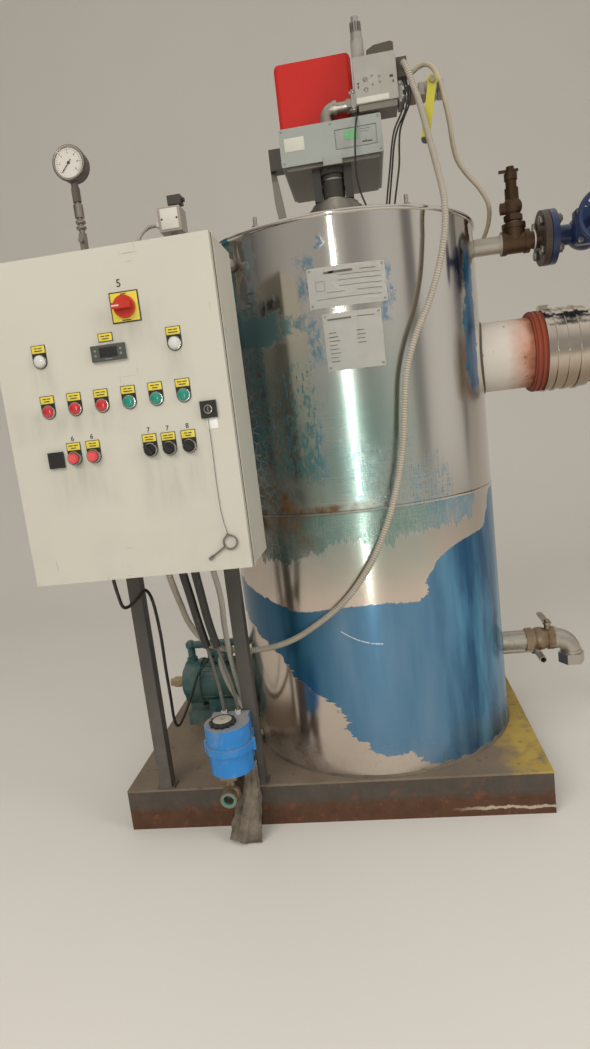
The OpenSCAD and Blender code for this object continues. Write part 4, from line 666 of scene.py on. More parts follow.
def cabinet_finish():
    """Pale powder coat with faint painted shadows below the fittings and a few scuffs."""
    f = Finish("cabinet_paint")
    x, y, z = f.split(f.place)
    tone = f.noise(f.place, 2.4, 4.0)
    base = f.mix(tone, rgb(0.475, 0.455, 0.395), rgb(0.555, 0.535, 0.465))
    # Painted shadows under the fittings, on the door's front only, broken into streaks and darkened to a grey
    # brown.
    fitting_shadows = patches(f, x, z, FITTING_SHADOWS)
    shadow_streaks = f.span(f.drawn((45, 45, 7), 4.0), 0.25, 0.75)
    front = f.span(y, -0.680, -0.686)
    base = f.mix(f.times(f.times(fitting_shadows, front), f.times(shadow_streaks, 0.42)), base, rgb(0.24, 0.225, 0.19))
    scuffs = f.times(f.scratches(0.31), f.clouds(7.0, 4.0, 0.60, 0.66))
    base = f.mix(f.times(scuffs, 0.55), base, rgb(0.20, 0.19, 0.17))
    foot = f.times(f.span(z, 0.95, 0.79), f.clouds(11.0, 6.0, 0.4, 0.75))
    base = f.mix(f.times(foot, 0.22), base, rgb(0.25, 0.22, 0.17))
    return f.put(Base_Color=base, Roughness=f.sheen(tone, 0.38, 0.5),
                 Normal=f.skin(520.0, 2.0, 0.25, 0.0004))


def burner_finish():
    """Grey cast body with painted shade on its underside, and a dark box and stay at its left."""
    f = Finish("burner_grey")
    x, _, z = f.split(f.place)
    tone = f.noise(f.place, 6.0, 5.0)
    base = f.mix(tone, rgb(0.265, 0.28, 0.26), rgb(0.345, 0.36, 0.335))
    dark = f.mix(tone, rgb(0.05, 0.045, 0.036), rgb(0.09, 0.078, 0.06))
    stay = f.times(f.span(x, -0.1102, -0.1108), f.span(z, 1.80, 1.795))
    base = f.mix(f.span(x, -0.1102, -0.1108), base, dark)
    base = f.mix(stay, base, rgb(0.13, 0.12, 0.10))
    # Painted shade: below 1.779 m the underside is darkened to a brown grey.
    base = f.mix(f.span(z, 1.7795, 1.7785), base, rgb(0.20, 0.185, 0.155))
    base = f.dusty(base, 0.25)[0]
    return f.put(Base_Color=base, Roughness=f.sheen(tone, 0.34, 0.46),
                 Normal=f.skin(600.0, 2.0, 0.12, 0.0004))


def valve_finish():
    """Grey die-cast valve body with painted shade on its base, a dark wedge on top and a dark plug at its
    right.
    """
    f = Finish("valve_alloy")
    x, _, z = f.split(f.place)
    tone = f.noise(f.place, 22.0, 6.0, 0.6)
    base = f.mix(tone, rgb(0.30, 0.285, 0.25), rgb(0.41, 0.395, 0.36))
    wedge = f.times(f.span(z, 2.0120, 2.0125), f.span(x, 0.140, 0.141))
    plug = f.times(f.span(x, 0.2158, 0.2162), f.span(z, 1.950, 1.951))
    dark = f.mix(tone, rgb(0.06, 0.05, 0.038), rgb(0.11, 0.092, 0.07))
    # Painted shade: below about 1.898 m the base is darkened.
    base = f.mix(f.span(z, 1.8982, 1.8976), base, rgb(0.19, 0.175, 0.15))
    base = f.mix(f.larger(wedge, plug), base, dark)
    return f.put(Base_Color=base, Roughness=f.sheen(tone, 0.42, 0.6),
                 Normal=f.skin(380.0, 4.0, 0.3, 0.0005), Metallic=0.15)


def handle_finish():
    """The main switch's red handle, with a pale mark along its grip at rest."""
    f = Finish("switch_red")
    x, y, z = f.split(f.place)
    mark = f.times(between(f, x, -0.4400, -0.4240), between(f, z, 1.3746, 1.3774))
    mark = f.times(mark, f.span(y, -0.7172, -0.7176))
    tone = f.noise(f.place, 30.0, 4.0)
    base = f.mix(tone, rgb(0.40, 0.02, 0.012), rgb(0.55, 0.04, 0.02))
    return f.put(Base_Color=f.mix(mark, base, rgb(0.62, 0.55, 0.48)), Roughness=f.sheen(tone, 0.28, 0.38),
                 Coat_Weight=0.2)


def steam_finish():
    """Pale steel pipe, then a brown tee, then a dark painted flange."""
    f = Finish("steam_pipe_finish")
    x = f.split(f.place)[0]
    tone = f.noise(f.place, 24.0, 6.0, 0.6)
    steel = f.mix(tone, rgb(0.38, 0.34, 0.28), rgb(0.56, 0.52, 0.46))
    brown = f.mix(tone, rgb(0.06, 0.035, 0.02), rgb(0.14, 0.085, 0.05))
    dark = f.mix(tone, rgb(0.03, 0.022, 0.018), rgb(0.075, 0.048, 0.036))
    pale = f.span(x, 0.4815, 0.4805)
    base = f.mix(f.span(x, 0.586, 0.588), f.mix(pale, brown, steel), dark)
    base, settled = f.dusty(base, 0.16)
    bare = f.times(f.span(x, 0.588, 0.586), f.span(settled, 0.0, 1.0, 0.85, 0.2))
    return f.put(Base_Color=base, Metallic=bare, Roughness=f.sheen(tone, 0.36, 0.56),
                 Normal=f.bump(tone, 0.3, 0.0008))


def actuator_finish():
    """Blue moulding, dusty on top, with a black knob and two pale glands."""
    f = Finish("actuator_blue")
    _, y, z = f.split(f.place)
    tone = f.noise(f.place, 20.0, 5.0)
    base = f.mix(tone, rgb(0.012, 0.16, 0.46), rgb(0.02, 0.23, 0.60))
    up = f.span(f.split(f.add("ShaderNodeNewGeometry").outputs["Normal"])[2], 0.35, 0.9)
    patchy = f.clouds(26.0, 7.0, 0.36, 0.56, rough=0.65)
    settled = f.times(up, f.span(patchy, 0.0, 1.0, 0.55, 1.0))
    smear = f.times(f.clouds(40.0, 6.0, 0.55, 0.72), 0.3)
    base = f.mix(f.larger(settled, smear), base, rgb(0.30, 0.275, 0.24))
    raised = f.span(z, 0.3453, 0.3456)
    back = f.span(y, -0.452, -0.451)
    base = f.mix(f.times(raised, f.rest(back)), base, rgb(0.022, 0.02, 0.018))
    base = f.mix(f.times(raised, back), base, rgb(0.50, 0.48, 0.43))
    return f.put(Base_Color=base, Roughness=f.span(settled, 0.0, 1.0, 0.32, 0.75),
                 Normal=f.skin(300.0, 4.0, 0.2, 0.0004))


CASING = casing_finish()
SKID = skid_finish()
DECK = deck_finish()
FLUE_STUB = flue_stub_finish()
VALVE_HEAD = two_tone("valve_head", rgb(0.60, 0.57, 0.52), rgb(0.36, 0.34, 0.30), 2, 2.066, 2.064, 0.2, 0.9)
BARE_STEEL = metal("bare_steel", rgb(0.62, 0.58, 0.52), 0.28, 0.1, 0.16, stretch=(50, 50, 400))
DULL_STEEL = metal("dull_steel", rgb(0.50, 0.46, 0.40), 0.4, 0.25, 0.26, bumpy=0.25)
PIPE_STEEL = metal("pipe_steel", rgb(0.60, 0.56, 0.50), 0.33, 0.2, 0.22, bumpy=0.2)
BRIGHT_FLUE = flue_sheet_finish()
STEAM_PIPE = steam_finish()
BROWN_BRASS = metal("brown_brass", rgb(0.115, 0.07, 0.042), 0.5, 0.22, 0.32,
                    rgb(0.07, 0.04, 0.025), bumpy=0.4)
OLD_BRASS = metal("old_brass", rgb(0.42, 0.31, 0.20), 0.42, 0.3, 0.3, bumpy=0.3)
DARK_PAINT = painted("dark_paint", rgb(0.045, 0.04, 0.035), 0.5, 0.3, 0.06)
LID_PAINT = painted("lid_paint", rgb(0.12, 0.10, 0.085), 0.6, 0.8, 0.1, rgb(0.15, 0.07, 0.04), floor=0.01)
BURNER_GREY = burner_finish()
HOOD_RED = plastic("hood_red", rgb(0.50, 0.016, 0.011), 0.42, 0.08, 0.06)
VALVE_ALLOY = valve_finish()
DARK_PLASTIC = plastic("dark_plastic", rgb(0.035, 0.03, 0.027), 0.45, 0.3)
VALVE_BLUE = painted("valve_blue", rgb(0.013, 0.026, 0.082), 0.3, 0.25, 0.03, peel=0.35, coat=0.15)
SEAL_RED = painted("seal_red", rgb(0.235, 0.042, 0.018), 0.6, 0.12, 0.06, rgb(0.10, 0.03, 0.015), peel=0.6)
CABINET = cabinet_finish()
FRAME_GREY = painted("frame_grey", rgb(0.075, 0.068, 0.06), 0.5, 0.35, 0.08)
PUMP_TEAL = two_tone("pump_teal", rgb(0.012, 0.085, 0.09), rgb(0.36, 0.25, 0.12), 0, -0.668, -0.671, 0.5)
ACTUATOR_BLUE = actuator_finish()
LEVER_YELLOW = two_tone("lever_yellow", rgb(0.46, 0.42, 0.05), rgb(0.05, 0.045, 0.04), 2, 1.786, 1.783)
LEGEND_YELLOW = plastic("legend_yellow", rgb(0.70, 0.56, 0.06), 0.35, 0.1)
SWITCH_RED = handle_finish()
BUTTON_RED = plastic("button_red", rgb(0.70, 0.085, 0.09), 0.35, 0.05, coat=0.2)
SWITCH_BLACK = plastic("switch_black", rgb(0.02, 0.019, 0.018), 0.32, 0.1)
CHROME_RING = metal("chrome_ring", rgb(0.56, 0.54, 0.50), 0.24, 0.03, 0.0)
CONTROLLER_CASE = plastic("controller_case", rgb(0.07, 0.075, 0.064), 0.4, 0.15)
LOCK_METAL = metal("lock_metal", rgb(0.10, 0.095, 0.085), 0.34, 0.05, 0.1)
STRING = plastic("string", rgb(0.20, 0.19, 0.165), 0.8, 0.2)
KEY_METAL = metal("key_metal", rgb(0.34, 0.31, 0.27), 0.35, 0.0, 0.2)
INSTRUMENT = painted("instrument_case", rgb(0.10, 0.085, 0.07), 0.45, 0.45, 0.08)
SWITCH_CASE = two_tone("switch_case", rgb(0.34, 0.30, 0.26), rgb(0.06, 0.055, 0.045), 2, 1.6585, 1.6605, 0.4)
WHITE_PLASTIC = plastic("white_plastic", rgb(0.62, 0.60, 0.54), 0.4, 0.1)

NODE_FINISH = {
    "skid_rails": SKID, "skid_cross_members": SKID, "skid_plate": DECK, "boiler_drum": DARK_PAINT,
    "lid_plate": LID_PAINT, "burner_neck": DULL_STEEL, "blast_tube": DARK_PAINT,
    "gas_valve_actuator": VALVE_HEAD, "gas_elbow_pipe": PIPE_STEEL, "gas_cock": PIPE_STEEL,
    "gas_cock_lever": LEVER_YELLOW, "steam_pipe": STEAM_PIPE, "safety_valve": BROWN_BRASS,
    "stop_valve": VALVE_BLUE, "stop_valve_handwheel": VALVE_BLUE, "flue_stub": FLUE_STUB,
    "flue_seal": SEAL_RED, "flue_adapter": BRIGHT_FLUE, "flue_tee": BRIGHT_FLUE,
    "drain_pipework": PIPE_STEEL, "drain_valve": OLD_BRASS, "drain_valve_lever": DULL_STEEL,
    "cabinet_posts": FRAME_GREY, "cabinet_rails": FRAME_GREY, "mounting_plate": BARE_STEEL,
    "instrument_pipe": DULL_STEEL, "pressure_switch": SWITCH_CASE, "pump_motor": PUMP_TEAL,
    "feed_pump": PUMP_TEAL, "blowdown_pipe": DULL_STEEL, "blowdown_valve": OLD_BRASS,
    "legend_plates": LEGEND_YELLOW, "main_switch_handle": SWITCH_RED, "panel_controller": CONTROLLER_CASE,
    "switch_bodies": SWITCH_BLACK, "push_button_left": BUTTON_RED, "push_button_right": BUTTON_RED,
    "selector_left": SWITCH_BLACK, "selector_middle": SWITCH_BLACK, "selector_right": SWITCH_BLACK,
    "door_lock": LOCK_METAL, "key_string": STRING, "door_key": KEY_METAL, "burner_body": BURNER_GREY,
    "burner_hood": HOOD_RED, "gas_valve_block": VALVE_ALLOY, "pressure_gauge": INSTRUMENT,
    "cabinet_box": CABINET, "cabinet_door": CABINET, "casing_lower": CASING, "casing_upper": CASING,
    "pilot_lamps": WHITE_PLASTIC, "blowdown_actuator": ACTUATOR_BLUE, "blowdown_hose": DARK_PAINT,
}


def dress_nodes():
    for name, node in NODES.items():
        finish = NODE_FINISH.get(name)
        if finish is None:
            continue
        node.data.materials.clear()
        node.data.materials.append(finish)


dress_nodes()

# Shaping helpers


def smooth(obj, angle=35):
    obj.data.shade_smooth()
    obj.data.set_sharp_from_angle(angle=math.radians(angle))
    return obj


def piece(name, bm, finish, body="boiler", replaces=(), angle=35):
    bmesh.ops.recalc_face_normals(bm, faces=bm.faces)
    mesh = bpy.data.meshes.new(name)
    bm.to_mesh(mesh)
    bm.free()
    mesh.materials.append(finish)
    obj = bpy.data.objects.new(name, mesh)
    scene.collection.objects.link(obj)
    smooth(obj, angle)
    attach(obj, body)
    if replaces:
        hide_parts(*replaces)
    return obj


def turn_to(axis):
    """A matrix that takes +Z to the axis."""
    return Vector(axis).to_track_quat("Z", "Y").to_matrix().to_4x4()


def turned(bm, profile, at, axis=(0, 0, 1), steps=48):
    """Spins a profile of (radius, distance along the axis) points round the axis."""
    place = Matrix.Translation(at) @ turn_to(axis)
    before = set(bm.verts)
    verts = [bm.verts.new((r, 0, h)) for r, h in profile]
    edges = [bm.edges.new(pair) for pair in zip(verts, verts[1:])]
    bmesh.ops.spin(bm, geom=verts + edges, cent=(0, 0, 0), axis=(0, 0, 1), dvec=(0, 0, 0),
                   angle=2 * math.pi, steps=steps, use_merge=True, use_duplicate=False)
    whole = [v for v in bm.verts if v not in before]
    bmesh.ops.transform(bm, matrix=place, verts=whole)
    bmesh.ops.remove_doubles(bm, verts=whole, dist=1e-6)


def rounded(bm, verts, edges, bevel, segments=2):
    """Rounds the edges and returns the shape's vertices."""
    done = bmesh.ops.bevel(bm, geom=edges, offset=bevel, offset_type="OFFSET", segments=segments,
                           profile=0.5, affect="EDGES", material=-1, clamp_overlap=True)
    return list(set(done["verts"]) | {v for v in verts if v.is_valid})


def box(bm, low, high, bevel=0.0, segments=2, turn=None):
    """A block between two corners, with rounded edges, turned by a matrix about its middle."""
    low, high = Vector(low), Vector(high)
    verts = bmesh.ops.create_cube(bm, size=1.0)["verts"]
    bmesh.ops.scale(bm, vec=high - low, verts=verts)
    if bevel > 0:
        verts = rounded(bm, verts, list({e for v in verts for e in v.link_edges}), bevel, segments)
    place = Matrix.Translation((low + high) / 2)
    if turn is not None:
        place = place @ turn
    bmesh.ops.transform(bm, matrix=place, verts=verts)


def rod(bm, radius, a, b, sides=24, bevel=0.0):
    """A bar from one point to another, with chamfered ends."""
    a, b = Vector(a), Vector(b)
    verts = bmesh.ops.create_cone(bm, cap_ends=True, segments=sides, radius1=radius, radius2=radius,
                                  depth=(b - a).length)["verts"]
    if bevel > 0:
        edges = [e for e in {e for v in verts for e in v.link_edges}
                 if any(len(f.verts) > 4 for f in e.link_faces)]
        verts = rounded(bm, verts, edges, bevel)
    bmesh.ops.transform(bm, matrix=Matrix.Translation((a + b) / 2) @ turn_to(b - a), verts=verts)


def hexagon(bm, across, a, b, bevel=0.0006):
    rod(bm, across / math.sqrt(3), a, b, 6, bevel)


# Cords, whose routes repeat the ones of the solids, in millimetres


def smooth_route(points, steps=4):
    """A smooth line through the points, in metres."""
    pts = [Vector(p) / 1000 for p in points]
    line = []
    for i in range(len(pts) - 1):
        before = pts[max(i - 1, 0)]
        a, b = pts[i], pts[i + 1]
        after = pts[min(i + 2, len(pts) - 1)]
        for k in range(steps):
            t = k / steps
            line.append(0.5 * (2 * a + (b - before) * t + (2 * before - 5 * a + 4 * b - after) * t * t
                               + (3 * a - before - 3 * b + after) * t ** 3))
    line.append(pts[-1])
    return line


def swept(name, line, radius, finish, sides=12, body="boiler", replaces=(), shape_at=None):
    """A cord or tube along a line, with a UV map that runs along it in metres.

    shape_at gives the radius at a share of the length and an angle."""
    bm = bmesh.new()
    ring = bmesh.ops.create_circle(bm, segments=sides, radius=1.0, cap_ends=False)["verts"]
    shape = [v.co.copy() for v in ring]
    edges = list({e for v in ring for e in v.link_edges})
    far = 0.0
    side = Vector((0, 0, 1))
    at_ring = {}
    ends = []
    for i, p in enumerate(line):
        ahead = (line[min(i + 1, len(line) - 1)] - line[max(i - 1, 0)]).normalized()
        side = side - ahead * side.dot(ahead)
        if side.length < 1e-4:
            side = ahead.orthogonal()
        side.normalize()
        other = ahead.cross(side)
        share = i / (len(line) - 1)
        if i > 0:
            far += (p - line[i - 1]).length
            made = bmesh.ops.extrude_edge_only(bm, edges=edges)["geom"]
            ring = [v for v in made if isinstance(v, bmesh.types.BMVert)]
            edges = [e for e in made
                     if isinstance(e, bmesh.types.BMEdge) and e.verts[0] in ring and e.verts[1] in ring]
            order = {}
            for v in ring:
                for e in v.link_edges:
                    o = e.other_vert(v)
                    if o in at_ring and o not in ring:
                        order[v] = at_ring[o][1]
        else:
            order = {v: k for k, v in enumerate(ring)}
        for v in ring:
            k = order[v]
            s = shape[k]
            r = radius if shape_at is None else shape_at(share, 2 * math.pi * k / sides)
            v.co = p + (side * s.x + other * s.y) * r
            at_ring[v] = (far, k)
        if i in (0, len(line) - 1):
            ends.append(sorted(ring, key=lambda v: order[v]))
    for loop in ends:
        if shape_at is None:
            bm.faces.new(loop)
    layer = bm.loops.layers.uv.new("along")
    for face in bm.faces:
        ks = [at_ring[l.vert][1] for l in face.loops]
        wrap = max(ks) - min(ks) > 2
        for l in face.loops:
            far, k = at_ring[l.vert]
            if wrap and k == 0:
                k = sides
            l[layer].uv = (k / sides, far)
    return piece(name, bm, finish, body, replaces, angle=60)


def cord_finish(name, colour, dark, pitch=0.0, rough=0.5, dust=0.3, depth=0.9):
    """A cable's sheath, with ribs round it and painted shade in the grooves between them where the pitch is
    above 0.
    """
    f = Finish(name)
    along = f.split(f.add("ShaderNodeUVMap", {"uv_map": "along"}).outputs[0])[1]
    tone = f.noise(f.place, 25.0, 6.0, 0.6)
    base = f.mix(tone, dark, colour)
    stain = f.spots(30.0, 0.58, 0.74)
    base = f.mix(f.times(stain, dust), base, DUST_COLOUR)
    height = f.times(tone, 0.15)
    if pitch > 0:
        wave = f.math("SINE", f.times(along, 2 * math.pi / pitch))
        height = f.plus(height, f.span(wave, -1.0, 1.0))
        # Painted shade: the grooves between the ribs are darkened.
        groove_shade = f.span(wave, -0.2, -1.0)
        base = f.mix(f.times(groove_shade, 0.7), base, darker(dark, 0.35))
    return f.put(Base_Color=base, Roughness=f.sheen(tone, rough - 0.08, rough + 0.1),
                 Normal=f.bump(height, depth, 0.0012))


CONDUIT = cord_finish("ribbed_conduit", rgb(0.50, 0.45, 0.37), rgb(0.34, 0.30, 0.24), 0.0062, 0.4)
BEIGE_CABLE = cord_finish("beige_cable", rgb(0.48, 0.42, 0.32), rgb(0.34, 0.29, 0.22), 0.0, 0.42)
PALE_CONDUIT = cord_finish("pale_conduit", rgb(0.50, 0.47, 0.40), rgb(0.38, 0.35, 0.29), 0.005, 0.45, 0.5)
BLACK_CABLE = cord_finish("black_cable", rgb(0.03, 0.028, 0.025), rgb(0.018, 0.016, 0.014), 0.0, 0.4, 0.25)
GREY_CABLE = cord_finish("grey_cable", rgb(0.14, 0.13, 0.115), rgb(0.08, 0.075, 0.065), 0.0, 0.45, 0.4)

CONDUIT_ROUTE = [
    (236, -143, 1982), (236, -157, 1982), (240, -169, 1968), (247, -175, 1942), (254, -178, 1914),
    (262, -188, 1880), (270, -212, 1820), (278, -256, 1735), (286, -300, 1650), (289, -333, 1585),
    (284, -342, 1515), (262, -352, 1430), (228, -368, 1345), (188, -386, 1268), (160, -398, 1190),
    (147, -403, 1110), (135, -407, 1020), (113, -412, 925), (79, -420, 828), (28, -427, 728),
    (-42, -428, 640), (-123, -418, 576), (-210, -388, 522), (-300, -352, 492), (-385, -345, 494),
    (-444, -375, 530), (-468, -425, 600), (-466, -488, 680), (-460, -540, 740), (-458, -560, 771),
    (-458, -560, 788)]
BURNER_ROUTE = [
    (246, -120, 1972), (260, -120, 1972), (278, -128, 1979), (297, -144, 1974), (312, -159, 1952),
    (322, -165, 1920), (332, -158, 1880), (344, -134, 1830), (352, -106, 1790), (364, -78, 1754),
    (390, -52, 1722), (426, -25, 1688), (455, 5, 1648), (461, 45, 1612), (452, 84, 1578),
    (436, 124, 1553), (410.9, 133.5, 1540), (391.9, 127.35, 1540)]
ACTUATOR_LEFT = [
    (-408, -433, 356), (-408, -433, 372), (-410, -440, 430), (-414, -455, 500), (-420, -475, 570),
    (-424, -500, 640), (-426, -525, 710), (-428, -545, 766), (-428, -545, 788)]
ACTUATOR_RIGHT = [
    (-370, -433, 356), (-370, -433, 372), (-374, -442, 430), (-384, -460, 500), (-392, -480, 570),
    (-396, -505, 640), (-396, -530, 710), (-396, -550, 766), (-396, -550, 788)]
MOTOR_ROUTE = [
    (-600, -560, 788), (-600, -560, 766), (-614, -515, 715), (-622, -480, 680), (-618, -450, 672),
    (-596, -425, 690), (-586, -400, 700), (-582, -370, 660), (-582, -350, 560), (-590, -330, 450),
    (-604, -290, 340), (-622, -240, 250), (-630, -190, 205), (-628, -130, 210), (-616, -60, 250),
    (-596, -22, 305), (-566, 2, 342), (-552, 14, 346), (-552, 28, 346)]
POST_ROUTE = [
    (-352, -545, 788), (-352, -545, 766), (-354, -515, 720), (-360, -480, 665), (-372, -440, 600),
    (-380, -400, 520), (-380, -370, 440), (-380, -330, 350), (-392, -260, 280), (-430, -180, 270),
    (-474, -110, 300), (-505, -50, 335), (-518, -5, 345), (-518, 28, 345)]


def lay_cord(name, route, diameter, finish, node=None, steps=4, sides=12):
    line = smooth_route(route, steps)
    obj = swept(name, line, diameter / 2, finish, sides, "boiler", (node,) if node else ())
    return obj


lay_cord("ribbed_conduit", CONDUIT_ROUTE, 0.016, CONDUIT, "flexible_conduit", steps=8, sides=16)
lay_cord("burner_lead", BURNER_ROUTE, 0.013, BEIGE_CABLE, "burner_cable")
lay_cord("actuator_lead_left", ACTUATOR_LEFT, 0.009, GREY_CABLE, "actuator_cables")
lay_cord("actuator_lead_right", ACTUATOR_RIGHT, 0.009, GREY_CABLE, "actuator_cables")
lay_cord("motor_lead", MOTOR_ROUTE, 0.009, BLACK_CABLE, "motor_cable")
lay_cord("post_lead", POST_ROUTE, 0.015, PALE_CONDUIT, "post_conduit", steps=6)

SLEEVED_FROM = 15


def cable_sleeves():
    """Dark sleeves over the upper stretch of the actuator's two leads."""
    for name, route in (("sleeve_left", ACTUATOR_LEFT), ("sleeve_right", ACTUATOR_RIGHT)):
        swept(name, smooth_route(route)[SLEEVED_FROM:], 0.0105, BLACK_CABLE, 14)


cable_sleeves()

# Casing: two rolled sheets with the seam's bead and the rim's bead

CASING_R = 0.400
CASING_FOOT_Z = 0.120
SHEET_JOINT_Z = 0.860
LID_RIM_Z = 1.5815
STEAM_Z = 1.530
FLUE_Z = 1.217
DRAIN_Z = 0.334
UP = Vector((0, 0, 1))
FRONT = Vector((0, -1, 0))
RIGHT = Vector((1, 0, 0))


def up_wall(low, high, steps=12):
    """Points up the casing's wall."""
    return [(CASING_R, low + (high - low) * k / steps) for k in range(steps + 1)]


def casing_sheets():
    inner = CASING_R - 0.004
    bead = [(CASING_R, 0.8525), (0.4022, 0.8535), (0.4032, 0.856), (0.4022, 0.8585), (CASING_R, 0.8597)]
    foot = [(inner, CASING_FOOT_Z + 0.0002), (CASING_R, CASING_FOOT_Z + 0.0004)]
    bm = bmesh.new()
    turned(bm, foot + up_wall(CASING_FOOT_Z, 0.85)[1:] + bead + [(inner, SHEET_JOINT_Z)],
           (0, 0, 0), steps=192)
    piece("casing_sheet_lower", bm, CASING, replaces=("casing_lower",), angle=50)
    bm = bmesh.new()
    rim = 0.006
    arc = [(CASING_R + rim * math.sin(a), 1.578 - rim * math.cos(a))
           for a in [math.pi * k / 10 for k in range(13)]]
    wall = up_wall(SHEET_JOINT_Z + 0.0004, SHEET_JOINT_Z + 0.7114)
    turned(bm, [(inner, SHEET_JOINT_Z + 0.0002)] + wall + arc
           + [(0.390, 1.5828), (0.356, 1.5828), (0.3552, 1.581), (0.3552, 1.565)], (0, 0, 0), steps=192)
    piece("casing_sheet_upper", bm, CASING, replaces=("casing_upper",), angle=50)


casing_sheets()

LABEL_PALE = plastic("label_pale", rgb(0.58, 0.57, 0.49), 0.4, 0.1)
STICKER = plastic("sticker", rgb(0.80, 0.79, 0.77), 0.4, 0.0)
PANEL_GREY = painted("panel_grey", rgb(0.31, 0.32, 0.30), 0.4, 0.1, peel=0.1)
WINDOW_GREEN = plastic("window_green", rgb(0.16, 0.42, 0.19), 0.2, 0.0)
DARK_MARK = plastic("dark_mark", rgb(0.05, 0.047, 0.04), 0.5, 0.0)
SOFT_MARK = plastic("soft_mark", rgb(0.24, 0.225, 0.20), 0.5, 0.0)
PLATE_METAL = plastic("plate_metal", rgb(0.72, 0.705, 0.665), 0.36, 0.06, 0.02)
SEALANT = painted("sealant", rgb(0.10, 0.08, 0.06), 0.7, 0.3, 0.04, rgb(0.14, 0.07, 0.04), peel=0.8)
BOLT_METAL = metal("bolt_metal", rgb(0.34, 0.31, 0.27), 0.36, 0.25, 0.3)
TAPE = plastic("white_tape", rgb(0.62, 0.58, 0.52), 0.6, 0.3)
LENS_RED = plastic("lens_red", rgb(0.48, 0.012, 0.02), 0.12, 0.03, 0.0, 1.0)
LENS_GREEN = plastic("lens_green", rgb(0.004, 0.23, 0.165), 0.12, 0.03, 0.0, 1.0)
LENS_WHITE = plastic("lens_white", rgb(0.62, 0.61, 0.58), 0.12, 0.03, 0.0, 1.0)
DISPLAY_BLACK = plastic("display_black", rgb(0.008, 0.008, 0.008), 0.1, 0.02, 0.0, 1.0)
DIAL_WHITE = plastic("dial_white", rgb(0.62, 0.585, 0.535), 0.35, 0.25, 0.0, 0.6)
CAP_DIAL = plastic("cap_dial", rgb(0.46, 0.44, 0.38), 0.5, 0.4)
TEAL_RING = plastic("teal_ring", rgb(0.03, 0.28, 0.27), 0.4, 0.3)


def screw(bm, at, axis, r):
    """A domed screw head with a washer."""
    dome = [(0, 0.62), (0.5, 0.54), (0.86, 0.28), (1, 0.12), (1.3, 0.10), (1.35, 0)]
    turned(bm, [(share * r, rise * r) for share, rise in dome], at, axis, 20)


def dash(bm, middle, half, turn, bevel=0.0002):
    """A short turned bar."""
    box(bm, middle - half, middle + half, bevel, 1, turn)


def bars(bm, spots, at, out=0.0, thick=0.0002):
    """Thin raised marks facing the front of a place, each given as (x low, x high, z low, z high) from it."""
    for x_low, x_high, z_low, z_high in spots:
        box(bm, at + Vector((x_low, -out - thick, z_low)), at + Vector((x_high, -out, z_high)),
            thick * 0.3, 1)


def figures(name, items, y, finish, body):
    """Plain figures on a plane that faces the front, each given as (text, size, x, z)."""
    bm = bmesh.new()
    for text, size, x, z in items:
        curve = bpy.data.curves.new("figure", "FONT")
        curve.body = text
        curve.size = size
        curve.extrude = 0.00012
        curve.offset = 0.014 * size
        curve.resolution_u = 3
        curve.align_x = "CENTER"
        curve.align_y = "CENTER"
        holder = bpy.data.objects.new("figure", curve)
        scene.collection.objects.link(holder)
        mesh = bpy.data.meshes.new_from_object(holder.evaluated_get(bpy.context.evaluated_depsgraph_get()))
        mesh.transform(Matrix.Translation((x, y, z)) @ Matrix.Rotation(math.pi / 2, 4, "X"))
        bm.from_mesh(mesh)
        bpy.data.objects.remove(holder)
        bpy.data.curves.remove(curve)
        bpy.data.meshes.remove(mesh)
    return piece(name, bm, finish, body, angle=20)


# Casing fittings: studs, gland, sealant round the pipes and two bare plates


def on_casing(turn, z, out=0.0):
    a = math.radians(turn)
    return Vector(((CASING_R + out) * math.sin(a), -(CASING_R + out) * math.cos(a), z))


def wrapped(bm, turn_low, turn_high, z_low, z_high, out, thick, steps=20):
    """A thin plate that lies round the casing."""
    made = bmesh.ops.create_grid(bm, x_segments=steps, y_segments=2, size=0.5)["verts"]
    for v in made:
        v.co = on_casing(turn_low + (turn_high - turn_low) * (v.co.x + 0.5),
                         z_low + (z_high - z_low) * (v.co.y + 0.5), out)
    bmesh.ops.solidify(bm, geom=list({f for v in made for f in v.link_faces}), thickness=thick)


STUD_COUNT = 6
STUD_CIRCLE_R = 0.377
STUD_FIRST = 2
GLAND_TURN = 18
GLAND_Z = 1.540


def lid_studs():
    bm = bmesh.new()
    for k in range(STUD_COUNT):
        a = math.radians(STUD_FIRST + k * 360 / STUD_COUNT)
        at = Vector((STUD_CIRCLE_R * math.cos(a), STUD_CIRCLE_R * math.sin(a), LID_RIM_Z))
        rod(bm, 0.005, at - UP * 0.0065, at + UP * 0.0325, 16, 0.0008)
        rod(bm, 0.0115, at, at + UP * 0.0027, 28, 0.0003)
        hexagon(bm, 0.017, at + UP * 0.0027, at + UP * 0.0125)
    piece("lid_studs", bm, BARE_STEEL)
    a = math.radians(GLAND_TURN)
    out = Vector((math.cos(a), math.sin(a), 0))
    foot = UP * GLAND_Z
    bm = bmesh.new()
    rod(bm, 0.0125, foot + out * 0.3985, foot + out * 0.4012, 28, 0.0004)
    hexagon(bm, 0.0205, foot + out * 0.4012, foot + out * 0.4065)
    throat = [(0.0094, 0), (0.0094, 0.003), (0.0085, 0.005), (0.0068, 0.0055), (0.0068, 0)]
    turned(bm, throat, foot + out * 0.4065, out, 28)
    piece("casing_gland", bm, DARK_PLASTIC)


# Pipes that leave through the casing: (radius, axis, offset along y or x, height)
PIPES_OUT = [(0.0245, RIGHT, 0.0, STEAM_Z), (0.1025, RIGHT, 0.0, FLUE_Z), (0.0305, RIGHT, 0.0, DRAIN_Z),
             (0.0135, -RIGHT, -0.150, 0.145), (0.0125, -RIGHT, 0.060, 0.380), (0.0105, FRONT, -0.250, 1.508)]


